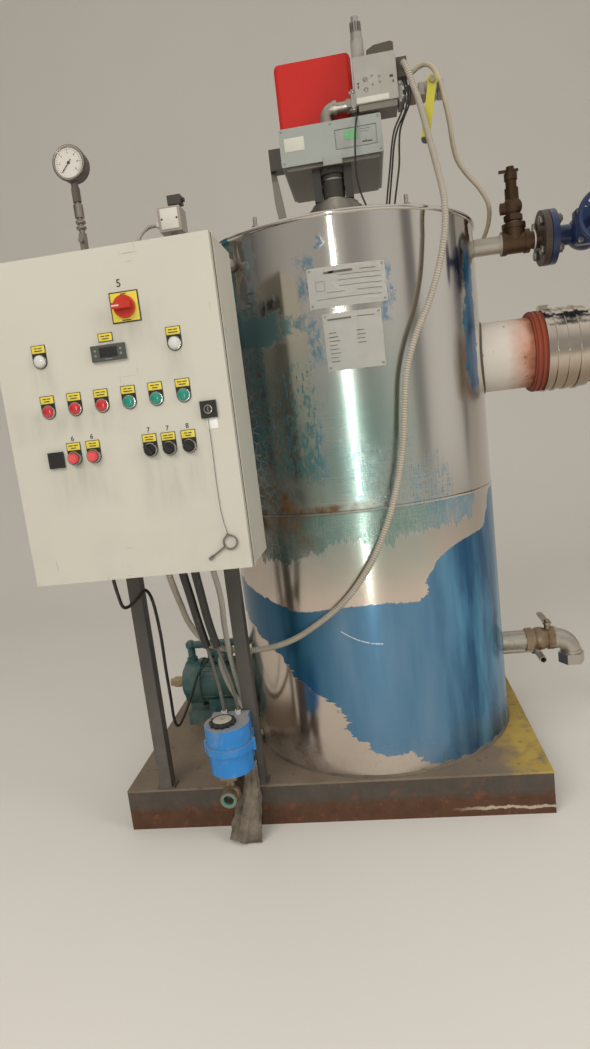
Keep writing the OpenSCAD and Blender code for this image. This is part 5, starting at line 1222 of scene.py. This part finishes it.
def sealant_rings():
    """A bead of sealant that follows the casing's curve round each pipe."""
    bm = bmesh.new()
    for r, axis, offset, z in PIPES_OUT:
        thick = 0.0028 + 0.02 * r
        before = set(bm.verts)
        along_y = axis == FRONT
        centre = (offset, 0, z) if along_y else (0, offset, z)
        ring = [(r + thick * (1 + math.cos(a)) / 2, 0.8 * thick * math.sin(a))
                for a in [math.pi * k / 5 for k in range(11)]]
        turned(bm, ring, centre, axis, 64)
        for v in bm.verts:
            if v in before:
                continue
            side = v.co.x if along_y else v.co.y
            depth = math.sqrt(CASING_R ** 2 - side ** 2)
            wobble = 1 + 0.25 * math.sin(31 * v.co.z * (1 + r * 40)) * math.sin(47 * side + 3)
            v.co += axis * (depth + 0.0008 * wobble)
    foot = [(0.3995, 0.1275), (0.4010, 0.1262), (0.4024, 0.1235), (0.4042, 0.1210), (0.4042, 0.1202),
            (0.3990, 0.1202)]
    turned(bm, foot, (0, 0, 0), steps=160)
    piece("sealant_rings", bm, SEALANT)


# The two plates and the lines ruled on them, as (turn low, turn high, z low, z high)
PLATES = [(-8.3, 19.0, 1.363, 1.457), (-4.3, 16.2, 1.211, 1.347)]
PLATE_ROWS = (1.4335, 1.4215, 1.4085, 1.3955, 1.3815)
LIST_ROWS = [1.300 - 0.0098 * k for k in range(8)]
RULE = 0.0008
PLATE_LINES = [(-2.5, 7.5, 1.4405, 1.4452), (10.0, 15.5, 1.4425, 1.4438)]
PLATE_LINES += [(2.5, 17.3, z, z + RULE) for z in PLATE_ROWS[:3]]
PLATE_LINES += [(-2.0, 4.2, PLATE_ROWS[3], PLATE_ROWS[3] + RULE),
                (8.5, 17.3, PLATE_ROWS[3], PLATE_ROWS[3] + RULE)]
PLATE_LINES += [(-5.5, 17.0, PLATE_ROWS[4], PLATE_ROWS[4] + RULE), (-5.5, -2.5, 1.4235, 1.4243)]
PLATE_LINES += [(-5.5, -2.5, 1.4015, 1.4023), (-5.6, -5.5, 1.4015, 1.4243), (-2.6, -2.5, 1.4015, 1.4243)]
PLATE_LINES += [(-2.8, -2.8 + 2.6 + 0.5 * (k % 3), z, z + 0.0016) for k, z in enumerate(LIST_ROWS)]
PLATE_LINES += [(7.0, 9.6 + 0.4 * (k % 2), z, z + 0.0014) for k, z in enumerate(LIST_ROWS[:4])]
PLATE_LINES += [(-2.8, 5.5, 1.331, 1.3345), (7.5, 13.6, 1.333, 1.3344)]


def casing_plates():
    """Two bare plates with rivets, ruled with empty lines and boxes."""
    bm = bmesh.new()
    for t_low, t_high, z_low, z_high in PLATES:
        wrapped(bm, t_low, t_high, z_low, z_high, 0.0016, 0.0012)
    piece("casing_plates", bm, PLATE_METAL, angle=50)
    bm = bmesh.new()
    for t_low, t_high, z_low, z_high in PLATES:
        for t in (t_low + 1.0, t_high - 1.0):
            for z in (z_low + 0.006, z_high - 0.006):
                out = (on_casing(t, z) - UP * z).normalized()
                screw(bm, on_casing(t, z, 0.0024), out, 0.0026)
    piece("plate_rivets", bm, BARE_STEEL)
    bm = bmesh.new()
    for t_low, t_high, z_low, z_high in PLATE_LINES:
        wrapped(bm, t_low, t_high, z_low, z_high, 0.0029, 0.0002, 6)
    piece("plate_rules", bm, SOFT_MARK, angle=50)


lid_studs()
sealant_rings()
casing_plates()

# Burner

BURNER_FACE = -0.155
VALVE_FACE = -0.165
TUBE_AT = (0.022, -0.105, 0)
CAP_AT = Vector((0.122, -0.125, 2.098))
CAP_R = 0.0171

# Blocks, as (low corner, high corner, bevel)
BURNER_LABELS = [((-0.097, -0.1560, 1.816), (-0.043, BURNER_FACE, 1.850), 0.0004),
                 ((0.107, -0.1662, 1.8995), (0.192, VALVE_FACE, 1.9135), 0.0004)]
BURNER_PANEL = [((0.0415, -0.1545, 1.8025), (0.1505, -0.152, 1.8495), 0.0012),
                ((0.002, -0.1575, 1.766), (0.054, -0.150, 1.790), 0.0015),
                ((0.002, -0.1590, 1.766), (0.054, -0.157, 1.7685), 0.0008)]
BURNER_WINDOW = [((0.066, -0.1555, 1.822), (0.101, -0.1544, 1.8455), 0.0006)]

# Strokes on the display, as (x low, x high, z low, z high)
DISPLAY_STROKES = [(0.112, 0.1185, 1.8095, 1.8135), (0.120, 0.1245, 1.8095, 1.8145),
                   (0.126, 0.138, 1.8095, 1.8125), (0.108, 0.136, 1.8425, 1.8435),
                   (0.108, 0.130, 1.8365, 1.8372)]

# Screws, as (x, y, z, radius), and nuts, as (x, z)
BODY_SCREWS = ((-0.102, 1.787), (-0.102, 1.868), (0.030, 1.868), (0.158, 1.787), (0.158, 1.868))
BURNER_SCREWS = [(x, BURNER_FACE, z, 0.0026) for x, z in BODY_SCREWS]
BURNER_SCREWS += [(0.134, VALVE_FACE, z, 0.0048) for z in (1.955, 1.931)]
BURNER_SCREWS += [(x, VALVE_FACE, z, 0.0024)
                  for x, z in ((0.152, 1.961), (0.152, 1.940), (0.171, 1.9435), (0.171, 1.957))]
VALVE_NUTS = ((0.0985, 1.937), (0.0985, 1.895), (0.222, 1.937), (0.222, 1.895))
FLANGE_SCREWS = [(x, -0.094, 1.884, 0.003) for x in (-0.100, 0.092)]

# Small dark plugs on the valve, as (x, z, width)
VALVE_PLUGS = ((0.113, 1.9475, 0.0035), (0.113, 1.9395, 0.003), (0.197, 1.953, 0.009), (0.204, 1.940, 0.003))


def blocks(name, rows, finish):
    bm = bmesh.new()
    for low, high, bevel in rows:
        box(bm, low, high, bevel)
    piece(name, bm, finish)


def burner_details():
    blocks("burner_labels", BURNER_LABELS, LABEL_PALE)
    blocks("burner_panel", BURNER_PANEL, PANEL_GREY)
    blocks("burner_window", BURNER_WINDOW, WINDOW_GREEN)
    bm = bmesh.new()
    bars(bm, DISPLAY_STROKES, FRONT * 0.1545, thick=0.0003)
    for k in range(-2, 3):
        a = math.radians(24 * k)
        at = CAP_AT + Vector((math.sin(a), -math.cos(a), 0)) * CAP_R
        dash(bm, at, Vector((0.0012, 0.0006, 0.011)), Matrix.Rotation(a, 4, "Z"), 0.0003)
    piece("burner_marks", bm, DARK_MARK)
    bm = bmesh.new()
    for x, y, z, r in BURNER_SCREWS:
        screw(bm, (x, y, z), FRONT, r)
    for x, z in VALVE_NUTS:
        hexagon(bm, 0.0085, (x, -0.1575, z), (x, -0.1535, z))
    for x, y, z, r in FLANGE_SCREWS:
        screw(bm, (x, y, z), FRONT, r)
    piece("burner_screws", bm, BARE_STEEL)
    bm = bmesh.new()
    foot = [(0.0305, 1.676), (0.0365, 1.676), (0.0372, 1.680), (0.0372, 1.6865), (0.0350, 1.690),
            (0.0305, 1.690)]
    turned(bm, foot, TUBE_AT, steps=56)
    turned(bm, [(0.0302, 1.736), (0.0318, 1.737), (0.0318, 1.741), (0.0302, 1.742)], TUBE_AT, steps=56)
    piece("tube_bands", bm, BARE_STEEL)
    blocks("valve_plugs",
           [((x, -0.1665, z - 0.0028), (x + w, -0.1648, z + 0.0028), 0.0005) for x, z, w in VALVE_PLUGS],
           DARK_MARK)


burner_details()

LEAD_FRONT = [(104, -150, 1886), (103, -158, 1874), (98, -166, 1850), (93, -170, 1815), (89, -172, 1770),
              (88, -173, 1725), (94, -174, 1680), (106, -176, 1640), (112, -178, 1600), (112, -178, 1564)]
LEAD_RIGHT = [(239, -139, 1956), (239, -141, 1949), (240, -150, 1939), (241, -160, 1920), (238, -168, 1890),
              (226, -172, 1855), (206, -173, 1822), (193, -171, 1785), (184, -169, 1735), (174, -167, 1680),
              (166, -165, 1630), (164, -164, 1564)]
LEAD_INNER = [(232, -139, 1956), (232, -141, 1950), (233, -151, 1940), (234, -161, 1920), (230, -170, 1888),
              (216, -178, 1852), (197, -181, 1818), (186, -180, 1780), (176, -178, 1725), (164, -176, 1665),
              (155, -174, 1610), (153, -172, 1564)]
LEAD_BOW = [(246, -137, 1961), (251, -139, 1959), (253, -147, 1947), (251, -157, 1930), (247, -165, 1905),
            (240, -171, 1874), (226, -173, 1848), (212, -169, 1818), (206, -167, 1780), (202, -165, 1735),
            (190, -163, 1680), (179, -161, 1625), (176, -160, 1564)]
SWITCH_LOOP = [(-414, -350, 1626), (-425, -350, 1627), (-445, -355, 1624), (-463, -366, 1608),
               (-475, -382, 1578), (-481, -402, 1535), (-482, -428, 1492), (-481, -458, 1464),
               (-480, -478, 1455), (-480, -490, 1453)]
for lead_name, lead_route in (("burner_lead_front", LEAD_FRONT), ("burner_lead_right", LEAD_RIGHT),
                              ("burner_lead_inner", LEAD_INNER), ("burner_lead_bow", LEAD_BOW)):
    lay_cord(lead_name, lead_route, 0.005, BLACK_CABLE, steps=3, sides=10)
lay_cord("switch_conduit", SWITCH_LOOP, 0.010, PALE_CONDUIT, steps=3)

# Cabinet door, whose fittings stand at a distance from its lower left corner, in millimetres

DOOR_X = -0.725
DOOR_Y = -0.690
DOOR_Z = 0.800
LAMPS_RED = [(100, 383), (161, 383), (222, 383)]
LAMPS_GREEN = [(283, 383), (343, 383), (403, 383)]
LAMPS_WHITE = [(100, 490), (399, 490)]
LAMPS = LAMPS_RED + LAMPS_GREEN + LAMPS_WHITE
BUTTONS = [(142, 278), (186, 278)]
SELECTORS = [(314, 277), (356, 276), (400, 276)]
LEGEND_RISE = 25
CONTROLLER = (255, 489)
LOCK_AT = (452, 347)
LOCK_PROUD = 0.0090
SWITCH_LEGEND = (305, 576)
CONTROLLER_LEGEND = (252, 521)
STICKER_AT = (456, 318)
SELECTOR_SLANT = -45
LAMP_R = 0.0128
LAMP_STEPS = 8


def on_door(x, z, out=0.0):
    return Vector((DOOR_X + x / 1000, DOOR_Y - out, DOOR_Z + z / 1000))


def plate(bm, at, half_x, half_z, proud, sunk=0.0, bevel=0.0005, segments=2):
    """A small plate that faces the front, centred at a place on the door."""
    box(bm, at + Vector((-half_x, -proud, -half_z)), at + Vector((half_x, -sunk, half_z)), bevel, segments)


def door_lamps():
    bm = bmesh.new()
    bezel = [(0.0148, 0), (0.0148, 0.0032), (0.0140, 0.0048), (0.0126, 0.0052), (0.0120, 0.0040), (0.0120, 0)]
    for x, z in LAMPS:
        turned(bm, bezel, on_door(x, z), FRONT, 40)
    piece("lamp_bezels", bm, CHROME_RING, "door", ("pilot_lamps",))
    for name, lamps, finish in (("lenses_red", LAMPS_RED, LENS_RED),
                                ("lenses_green", LAMPS_GREEN, LENS_GREEN),
                                ("lenses_white", LAMPS_WHITE, LENS_WHITE)):
        bm = bmesh.new()
        for x, z in lamps:
            slants = [math.pi / 2 * k / LAMP_STEPS for k in range(LAMP_STEPS, -1, -1)]
            dome = [(LAMP_R * math.cos(a), 0.0042 + 0.0078 * math.sin(a)) for a in slants]
            turned(bm, [(0, dome[0][1])] + dome[1:] + [(LAMP_R, 0.001)], on_door(x, z), FRONT, 40)
        piece(name, bm, finish, "door")


def door_rings():
    """Dark collars, bright rings round the buttons and selectors, and the selectors' marks."""
    bm = bmesh.new()
    collar = [(0.0158, 0), (0.0158, 0.0019), (0.0153, 0.0023), (0.0146, 0.0023), (0.0146, 0)]
    for x, z in LAMPS + BUTTONS + SELECTORS:
        turned(bm, collar, on_door(x, z), FRONT, 40)
    piece("switch_collars", bm, SWITCH_BLACK, "door")
    bm = bmesh.new()
    for spots, top in ((BUTTONS, 0.0112), (SELECTORS, 0.0088)):
        ring = [(0.0150, 0), (0.0150, top - 0.0018), (0.0143, top), (0.0128, top), (0.0124, top - 0.001),
                (0.0124, 0.0051)]
        for x, z in spots:
            turned(bm, ring, on_door(x, z), FRONT, 44)
    piece("switch_rings", bm, CHROME_RING, "door")
    for name, (x, z) in zip(("left", "middle", "right"), SELECTORS):
        bm = bmesh.new()
        slant = Matrix.Rotation(math.radians(SELECTOR_SLANT), 4, "Y")
        dash(bm, on_door(x, z, 0.0151) + slant @ (UP * 0.0075), Vector((0.0006, 0.0003, 0.0038)), slant)
        piece("selector_mark_" + name, bm, LENS_WHITE, "selector_" + name)
    for name, (x, z) in zip(("left", "right"), BUTTONS):
        bm = bmesh.new()
        turned(bm, [(0.0112, 0.0142), (0.0112, 0.0148), (0.0104, 0.0152), (0.0092, 0.0147)],
               on_door(x, z), FRONT, 36)
        piece("button_rim_" + name, bm, BUTTON_RED, "push_button_" + name)


# The sides of a legend's holder, in steps of (inner edge, foot, head) from the centre of its ring
LEGEND_HALF = 0.016
HOLDER_STEPS = ((0.0123, 0.004, 0.0096), (0.0082, 0.0094, 0.0126), (0.0, 0.0124, 0.0165))


def door_legends():
    bm = bmesh.new()
    dark = bmesh.new()
    yellow = bmesh.new()
    rings = LAMPS + BUTTONS + SELECTORS
    for n, (x, z) in enumerate([(x, z + LEGEND_RISE) for x, z in rings] + [CONTROLLER_LEGEND]):
        at = on_door(x, z)
        plate(dark, at, LEGEND_HALF, 0.009, 0.0016)
        if n < len(rings):
            for inner, foot, head in HOLDER_STEPS:
                for side in (-1, 1):
                    near, far = sorted((side * inner, side * LEGEND_HALF))
                    box(dark, at + Vector((near, -0.0016, foot - LEGEND_RISE / 1000)),
                        at + Vector((far, 0, head - LEGEND_RISE / 1000)), 0.0003, 1)
        plate(yellow, at, 0.0146, 0.0076, 0.0021, 0.0012, 0.0004)
        first = 0.0085 + 0.0012 * (n % 3)
        second = 0.006 + 0.0014 * (n % 4)
        strokes = [(-first, -0.0012, 0.0014, 0.0036), (0.0006, first, 0.0014, 0.0036),
                   (-second, second, -0.0040, -0.0018)]
        bars(bm, strokes, at, 0.0021)
    at = on_door(*SWITCH_LEGEND)
    plate(dark, at, 0.0315, 0.0315, 0.0018, bevel=0.0008)
    plate(yellow, at, 0.029, 0.029, 0.0023, 0.0015, 0.0006)
    bars(bm, [(-0.006, 0.006, 0.0252, 0.0272), (-0.010, 0.010, -0.0278, -0.0256)], at, 0.0023)
    piece("legend_borders", dark, SWITCH_BLACK, "door", ("legend_plates",))
    piece("legend_faces", yellow, LEGEND_YELLOW, "door")
    piece("legend_marks", bm, DARK_MARK, "door")


def door_controller():
    bm = bmesh.new()
    at = on_door(*CONTROLLER, 0.007)
    box(bm, at + Vector((-0.0185, -0.0006, -0.0095)), at + Vector((0.0205, 0.0002, 0.0115)), 0.0006)
    piece("controller_display", bm, DISPLAY_BLACK, "door")
    bm = bmesh.new()
    for x in (-0.028, 0.028):
        for z in (-0.0045, 0.0055):
            turned(bm, [(0, 0.0011), (0.0020, 0.0010), (0.0026, 0.0005), (0.0026, 0)],
                   at + Vector((x, 0, z)), FRONT, 20)
    bars(bm, [(-0.008, 0.006, -0.0135, -0.0122)], at, thick=0.0003)
    piece("controller_keys", bm, SOFT_MARK, "door")
    bm = bmesh.new()
    at = on_door(*LOCK_AT, LOCK_PROUD)
    turned(bm, [(0.0092, 0), (0.0092, 0.0006), (0.0086, 0.0010), (0.0074, 0.0010), (0.0070, 0)],
           at, FRONT, 40)
    plate(bm, at, 0.0009, 0.0048, 0.0007, bevel=0.0003, segments=1)
    piece("lock_face", bm, BARE_STEEL, "door_lock")


def door_figures():
    rise = LEGEND_RISE + 17
    items = [("5", 0.022, *on_door(298, 624).xz)]
    items += [("6", 0.015, *on_door(x, z + rise).xz) for x, z in BUTTONS]
    items += [(t, 0.015, *on_door(x, z + rise).xz) for t, (x, z) in zip("778", SELECTORS)]
    figures("door_figures", items, DOOR_Y - 0.0002, DARK_MARK, "door")
    bm = bmesh.new()
    plate(bm, on_door(*STICKER_AT), 0.011, 0.012, 0.0006, bevel=0.0003)
    piece("door_sticker", bm, STICKER, "door")


BOX_LOW = Vector((DOOR_X, 0, DOOR_Z))
BOX_HIGH = Vector((-0.225, 0, 1.500))
LIP_THICK = 0.006


def folded_edge(name, finish, y_front, y_back, out):
    """Four strips round the cabinet's opening, a little outside its sides."""
    low = BOX_LOW - Vector((out, 0, out))
    high = BOX_HIGH + Vector((out, 0, out))
    bm = bmesh.new()
    for corner, other in (
            ((high.x - LIP_THICK, low.z), (high.x, high.z)),
            ((low.x, low.z), (low.x + LIP_THICK, high.z)),
            ((BOX_LOW.x, high.z - LIP_THICK), (BOX_HIGH.x, high.z)),
            ((BOX_LOW.x, low.z), (BOX_HIGH.x, low.z + LIP_THICK))):
        box(bm, (corner[0], y_front, corner[1]), (other[0], y_back, other[1]), 0.0004)
    piece(name, bm, finish)


def cabinet_lip():
    """The box's folded lip, and a dark seal between it and the door that also serves as painted shade in the
    gap.
    """
    folded_edge("cabinet_lip", CABINET, -0.6690, -0.6560, 0.003)
    # A dark strip in the gap between box and door: a seal, and painted shade for the gap.
    folded_edge("cabinet_seal_and_gap_shade", SEALANT, -0.6716, -0.6692, 0.0012)


door_lamps()
door_rings()
door_legends()
door_controller()
door_figures()
cabinet_lip()

# Gauge, pressure switch, actuator, bolts and other small things

GAUGE_AT = Vector((-0.622, -0.366, 1.802))
DIAL_R = 0.0358
DIAL_START = -135
DIAL_MARKS = 31
MARK_STEP = 9
FIGURE_STEP = 45
DIAL_FIGURES = ("0", "2", "4", "6", "8", "10", "12")
NEEDLE_TURN = -138


def round_dial(degrees, r):
    """The way from a dial's centre to a place on it."""
    a = math.radians(degrees)
    return Vector((math.sin(a), 0, math.cos(a))) * r


def dial_bar(bm, at, degrees, r, half, bevel=0.0002):
    dash(bm, at + round_dial(degrees, r), Vector(half), Matrix.Rotation(math.radians(degrees), 4, "Y"), bevel)


def gauge_details():
    bm = bmesh.new()
    turned(bm, [(0, 0.0008), (DIAL_R, 0.0008), (DIAL_R, 0)], GAUGE_AT, FRONT, 56)
    piece("gauge_dial", bm, DIAL_WHITE)
    bm = bmesh.new()
    face = GAUGE_AT + FRONT * 0.0010
    for k in range(DIAL_MARKS):
        half_width, reach = (0.0005, 0.0048) if k % 5 == 0 else (0.0003, 0.0028)
        dial_bar(bm, face, DIAL_START + MARK_STEP * k, 0.0325 - reach / 2,
                 (half_width, 0.0002, reach / 2), 0.00005)
    dial_bar(bm, face + FRONT * 0.0015, NEEDLE_TURN, 0.009, (0.0009, 0.0003, 0.019))
    turned(bm, [(0, 0.0036), (0.0026, 0.0034), (0.0034, 0.0024), (0.0034, 0)], GAUGE_AT, FRONT, 24)
    piece("gauge_marks", bm, DARK_MARK)
    items = []
    for k, text in enumerate(DIAL_FIGURES):
        at = GAUGE_AT + round_dial(DIAL_START + FIGURE_STEP * k, 0.0232)
        items.append((text, 0.0058, at.x, at.z))
    figures("gauge_figures", items, face.y, DARK_MARK, "boiler")
    bm = bmesh.new()
    ring = [(0.0362, 0), (0.0362, 0.0016), (0.0378, 0.0026), (0.0400, 0.0022), (0.0410, 0.0010), (0.0410, 0)]
    turned(bm, ring, GAUGE_AT + FRONT * 0.002, FRONT, 56)
    piece("gauge_bezel", bm, BARE_STEEL)


SWITCH_Y = -0.350


def switch_details():
    blocks("switch_cover", [((-0.4045, -0.3822, 1.6045), (-0.3595, -0.380, 1.6535), 0.0012)], WHITE_PLASTIC)
    bm = bmesh.new()
    for x in (-0.401, -0.363):
        screw(bm, (x, -0.3822, 1.629), FRONT, 0.002)
    rod(bm, 0.0055, (-0.353, SWITCH_Y, 1.677), (-0.345, SWITCH_Y, 1.677), 20, 0.0008)
    hexagon(bm, 0.018, (-0.3745, SWITCH_Y, 1.659), (-0.3745, SWITCH_Y, 1.665))
    piece("switch_fixings", bm, DARK_PLASTIC)
    bm = bmesh.new()
    hexagon(bm, 0.015, (-0.4235, SWITCH_Y, 1.626), (-0.4142, SWITCH_Y, 1.626))
    hexagon(bm, 0.015, (-0.480, -0.4805, 1.454), (-0.480, -0.4898, 1.453))
    piece("conduit_glands", bm, WHITE_PLASTIC)


KNOB_AT = Vector((-0.400, -0.489, 0))
KNOB_GRIPS = 12
PORT_AT = (-0.405, -0.5122, 0.145)


def actuator_details():
    bm = bmesh.new()
    knob = [(0.0255, 0.3572), (0.0300, 0.3566), (0.0318, 0.3545), (0.0322, 0.3500), (0.0316, 0.3462),
            (0.0290, 0.3455)]
    turned(bm, knob, KNOB_AT, steps=56)
    for k in range(KNOB_GRIPS):
        a = math.radians(k * 360 / KNOB_GRIPS + 10)
        at = KNOB_AT + Vector((0.0312 * math.cos(a), 0.0312 * math.sin(a), 0))
        rod(bm, 0.0042, at + UP * 0.3458, at + UP * 0.3568, 14, 0.0012)
    piece("actuator_knob", bm, SWITCH_BLACK)
    bm = bmesh.new()
    turned(bm, [(0, 0.3588), (0.0235, 0.3586), (0.0248, 0.3578), (0.0248, 0.3568)], KNOB_AT, steps=48)
    piece("actuator_dial", bm, CAP_DIAL)
    bm = bmesh.new()
    for half_x, half_y in ((0.008, 0.0012), (0.0012, 0.008)):
        dash(bm, KNOB_AT + UP * 0.35895, Vector((half_x, half_y, 0.00025)), Matrix.Rotation(0.5, 4, "Z"))
    box(bm, (-0.3408, -0.473, 0.296), (-0.3392, -0.441, 0.332), 0.0008)
    piece("actuator_marks", bm, SOFT_MARK)
    bm = bmesh.new()
    turned(bm, [(0.0140, 0), (0.0140, 0.0085), (0.0158, 0.0090), (0.0176, 0.0078), (0.0176, 0)],
           PORT_AT, FRONT, 40)
    piece("port_ring", bm, TEAL_RING)


FLANGE_BOLTS = 4
BOLT_CIRCLE_R = 0.055
VALVE_X = 0.710
VALVE_HALF = 0.037
TAPE_R = 0.0262
TEE_X = 0.520


def valve_fixings():
    """The flange's bolts, the stop valve's cover bolts and the white tape at the tee's threads."""
    bm = bmesh.new()
    for k in range(FLANGE_BOLTS):
        a = math.radians(45 + k * 360 / FLANGE_BOLTS)
        at = Vector((0, BOLT_CIRCLE_R * math.cos(a), STEAM_Z + BOLT_CIRCLE_R * math.sin(a)))
        hexagon(bm, 0.024, at + RIGHT * 0.580, at + RIGHT * 0.590, 0.0012)
        rod(bm, 0.0078, at + RIGHT * 0.5895, at + RIGHT * 0.644, 18, 0.001)
        hexagon(bm, 0.024, at + RIGHT * 0.6282, at + RIGHT * 0.640, 0.0012)
    for x in (VALVE_X - VALVE_HALF, VALVE_X + VALVE_HALF):
        for z in (STEAM_Z - VALVE_HALF, STEAM_Z + VALVE_HALF):
            hexagon(bm, 0.015, (x, -0.0975, z), (x, -0.087, z), 0.0008)
    piece("valve_bolts", bm, BOLT_METAL)
    bm = bmesh.new()
    top = [(0.0215, 1.5790), (0.0262, 1.5788), (0.0268, 1.5808), (0.0258, 1.5830), (0.0215, 1.5832)]
    turned(bm, top, (TEE_X, 0, 0), steps=48)
    tape = [(TAPE_R - 0.004, 0), (TAPE_R, 0.0002), (TAPE_R + 0.0008, 0.002), (TAPE_R, 0.0038),
            (TAPE_R - 0.004, 0.004)]
    for x in (0.4795, 0.5715):
        turned(bm, tape, (x, 0, STEAM_Z), RIGHT, 48)
    piece("tape_rings", bm, TAPE)


def folds(share, turn):
    """The sleeve's radius: a tube at the top that opens into creased folds at the foot."""
    spread = 0.0165 + 0.0105 * share ** 1.6
    deep = 0.0008 + 0.0058 * share
    crease = deep * math.sin(5 * turn + 3.2 * share) + 0.45 * deep * math.sin(11 * turn - 9 * share + 1)
    crease += 0.0026 * share * math.sin(23 * share + 3 * turn) * math.sin(2 * turn + 5 * share)
    return spread + crease + 0.0011 * math.sin(44 * share + 2 * turn)


SLEEVE_FLATTENING = 0.42
SLEEVE_ROUTE = [(-352, -455, 220), (-352, -455, 206), (-354, -457, 170), (-360, -462, 125),
                (-368, -470, 80), (-376, -478, 38), (-382, -484, 1.5)]


def sleeve_finish():
    """Dusty brown cloth with crumples and darker stains; its hem is darker."""
    f = Finish("sleeve_cloth")
    z = f.split(f.place)[2]
    tone = f.noise(f.place, 26.0, 7.0, 0.65)
    base = f.mix(f.span(tone, 0.35, 0.65), rgb(0.095, 0.075, 0.055), rgb(0.20, 0.168, 0.132))
    base = f.mix(f.span(f.moved(z, tone, 0.03), 0.030, 0.018), base, rgb(0.06, 0.045, 0.03))
    folds_in = f.drawn((38, 38, 20), 6.0, 0.6)
    return f.put(Base_Color=base, Roughness=0.85, Normal=f.bump(folds_in, 0.8, 0.006))


SLEEVE_CLOTH = sleeve_finish()


def sleeve():
    """The dusty sleeve under the actuator, pressed flat towards its foot, which rests on the floor."""
    line = smooth_route(SLEEVE_ROUTE, 12)
    obj = swept("blowdown_sleeve", line, 0.02, SLEEVE_CLOTH, 88, "boiler", ("blowdown_hose",), folds)
    low = min(v.co.z for v in obj.data.vertices)
    for v in obj.data.vertices:
        nearest = min(line, key=lambda p: abs(p.z - v.co.z))
        flat = min(max((0.185 - v.co.z) / 0.11, 0.0), 1.0)
        v.co.x = nearest.x + (v.co.x - nearest.x) * (1 + SLEEVE_FLATTENING * flat)
        v.co.y = nearest.y + (v.co.y - nearest.y) * (1 - SLEEVE_FLATTENING * flat)
        if low < 0.001 and v.co.z < 0.02:
            v.co.z = 0.001 + (v.co.z - low) * 0.019 / (0.02 - low)


gauge_details()
switch_details()
actuator_details()
valve_fixings()
sleeve()

# Floor, backdrop and light

STAGE_HALF = 9.0
WALL_Y = 4.0
BEND_R = 2.0


def lay_stage():
    """A pale floor that turns up into a wall behind the boiler."""
    f = Finish("stage_pale")
    tone = f.noise(f.place, 1.2, 4.0)
    f.put(Base_Color=f.mix(tone, rgb(0.66, 0.635, 0.595), rgb(0.70, 0.675, 0.635)), Roughness=0.85)
    bm = bmesh.new()
    made = bmesh.ops.create_grid(bm, x_segments=1, y_segments=80, size=STAGE_HALF)["verts"]
    bend = WALL_Y - BEND_R
    arc = BEND_R * math.pi / 2
    for v in made:
        far = v.co.y
        if far > bend:
            turn = min((far - bend) / BEND_R, math.pi / 2)
            rise = max(far - bend - arc, 0.0)
            v.co.y = bend + BEND_R * math.sin(turn)
            v.co.z = BEND_R * (1 - math.cos(turn)) + rise
    mesh = bpy.data.meshes.new("stage")
    bm.to_mesh(mesh)
    bm.free()
    mesh.materials.append(f.material)
    mesh.shade_smooth()
    stage = bpy.data.objects.new("stage", mesh)
    scene.collection.objects.link(stage)


def lamp(name, at, to, size, size_y, power, colour=(1, 0.96, 0.90), in_mirror=True, shape="RECTANGLE"):
    data = bpy.data.lights.new(name, "AREA")
    data.shape = shape
    data.size = size
    data.size_y = size_y
    data.energy = power
    data.color = colour
    obj = bpy.data.objects.new(name, data)
    obj.location = at
    obj.rotation_euler = (Vector(to) - Vector(at)).to_track_quat("-Z", "Y").to_euler()
    obj.visible_camera = False
    obj.visible_glossy = in_mirror
    scene.collection.objects.link(obj)


# Brightness of the studio round the boiler, as (degrees from the front towards +X, share)
AROUND = [(-180, 0.55), (-135, 0.48), (-118, 0.18), (-98, 0.07), (-72, 0.09), (-56, 0.24), (-42, 0.40),
          (-24, 0.46), (-8, 0.44), (3, 0.52), (14, 0.36), (28, 0.46), (44, 0.62), (54, 0.60), (59, 0.24),
          (63, 0.20), (68, 0.58), (84, 0.70), (103, 0.58), (110, 0.18), (121, 0.12), (130, 0.50),
          (180, 0.55)]

STUDIO_DARK = rgb(0.02, 0.017, 0.014)
STUDIO_BRIGHT = rgb(1.0, 0.955, 0.88)
STUDIO_SEEN = rgb(0.72, 0.69, 0.645)
STUDIO_STRENGTH = 0.85


def set_world():
    """A studio of bright and dark sides, which the steel mirrors and the camera sees as one pale wall."""
    world = bpy.data.worlds.new("studio")
    scene.world = world
    world.use_nodes = True
    n = Nodes(world.node_tree)
    shade = world.node_tree.nodes["Background"]
    x, y, z = n.split(n.add("ShaderNodeTexCoord").outputs["Generated"])
    turn = n.times(n.math("ARCTAN2", x, n.times(y, -1.0)), 180 / math.pi)
    share = curve_of(n, n.span(turn, -180.0, 180.0), [((t + 180) / 360, b) for t, b in AROUND])
    high = n.span(z, 0.35, 0.85)
    bright = n.plus(n.times(share, n.rest(high)), n.times(high, 0.8))
    seen = n.add("ShaderNodeLightPath").outputs["Is Camera Ray"]
    n.wire(n.mix(seen, n.mix(bright, STUDIO_DARK, STUDIO_BRIGHT), STUDIO_SEEN), shade.inputs["Color"])
    n.wire(STUDIO_STRENGTH, shade.inputs["Strength"])


lay_stage()
set_world()
lamp("key", at=(-1.6, -3.4, 3.4), to=(-0.1, 0, 1.0), size=2.4, size_y=1.6, power=78, in_mirror=False)
lamp("strip", at=(0.10, -3.3, 1.0), to=(0.0, 0, 1.0), size=0.06, size_y=2.9, power=17, colour=(0.94, 1, 0.93),
     shape="ELLIPSE")
lamp("side", at=(2.7, -1.9, 2.1), to=(0.0, -0.2, 1.0), size=1.0, size_y=2.2, power=36, in_mirror=False)
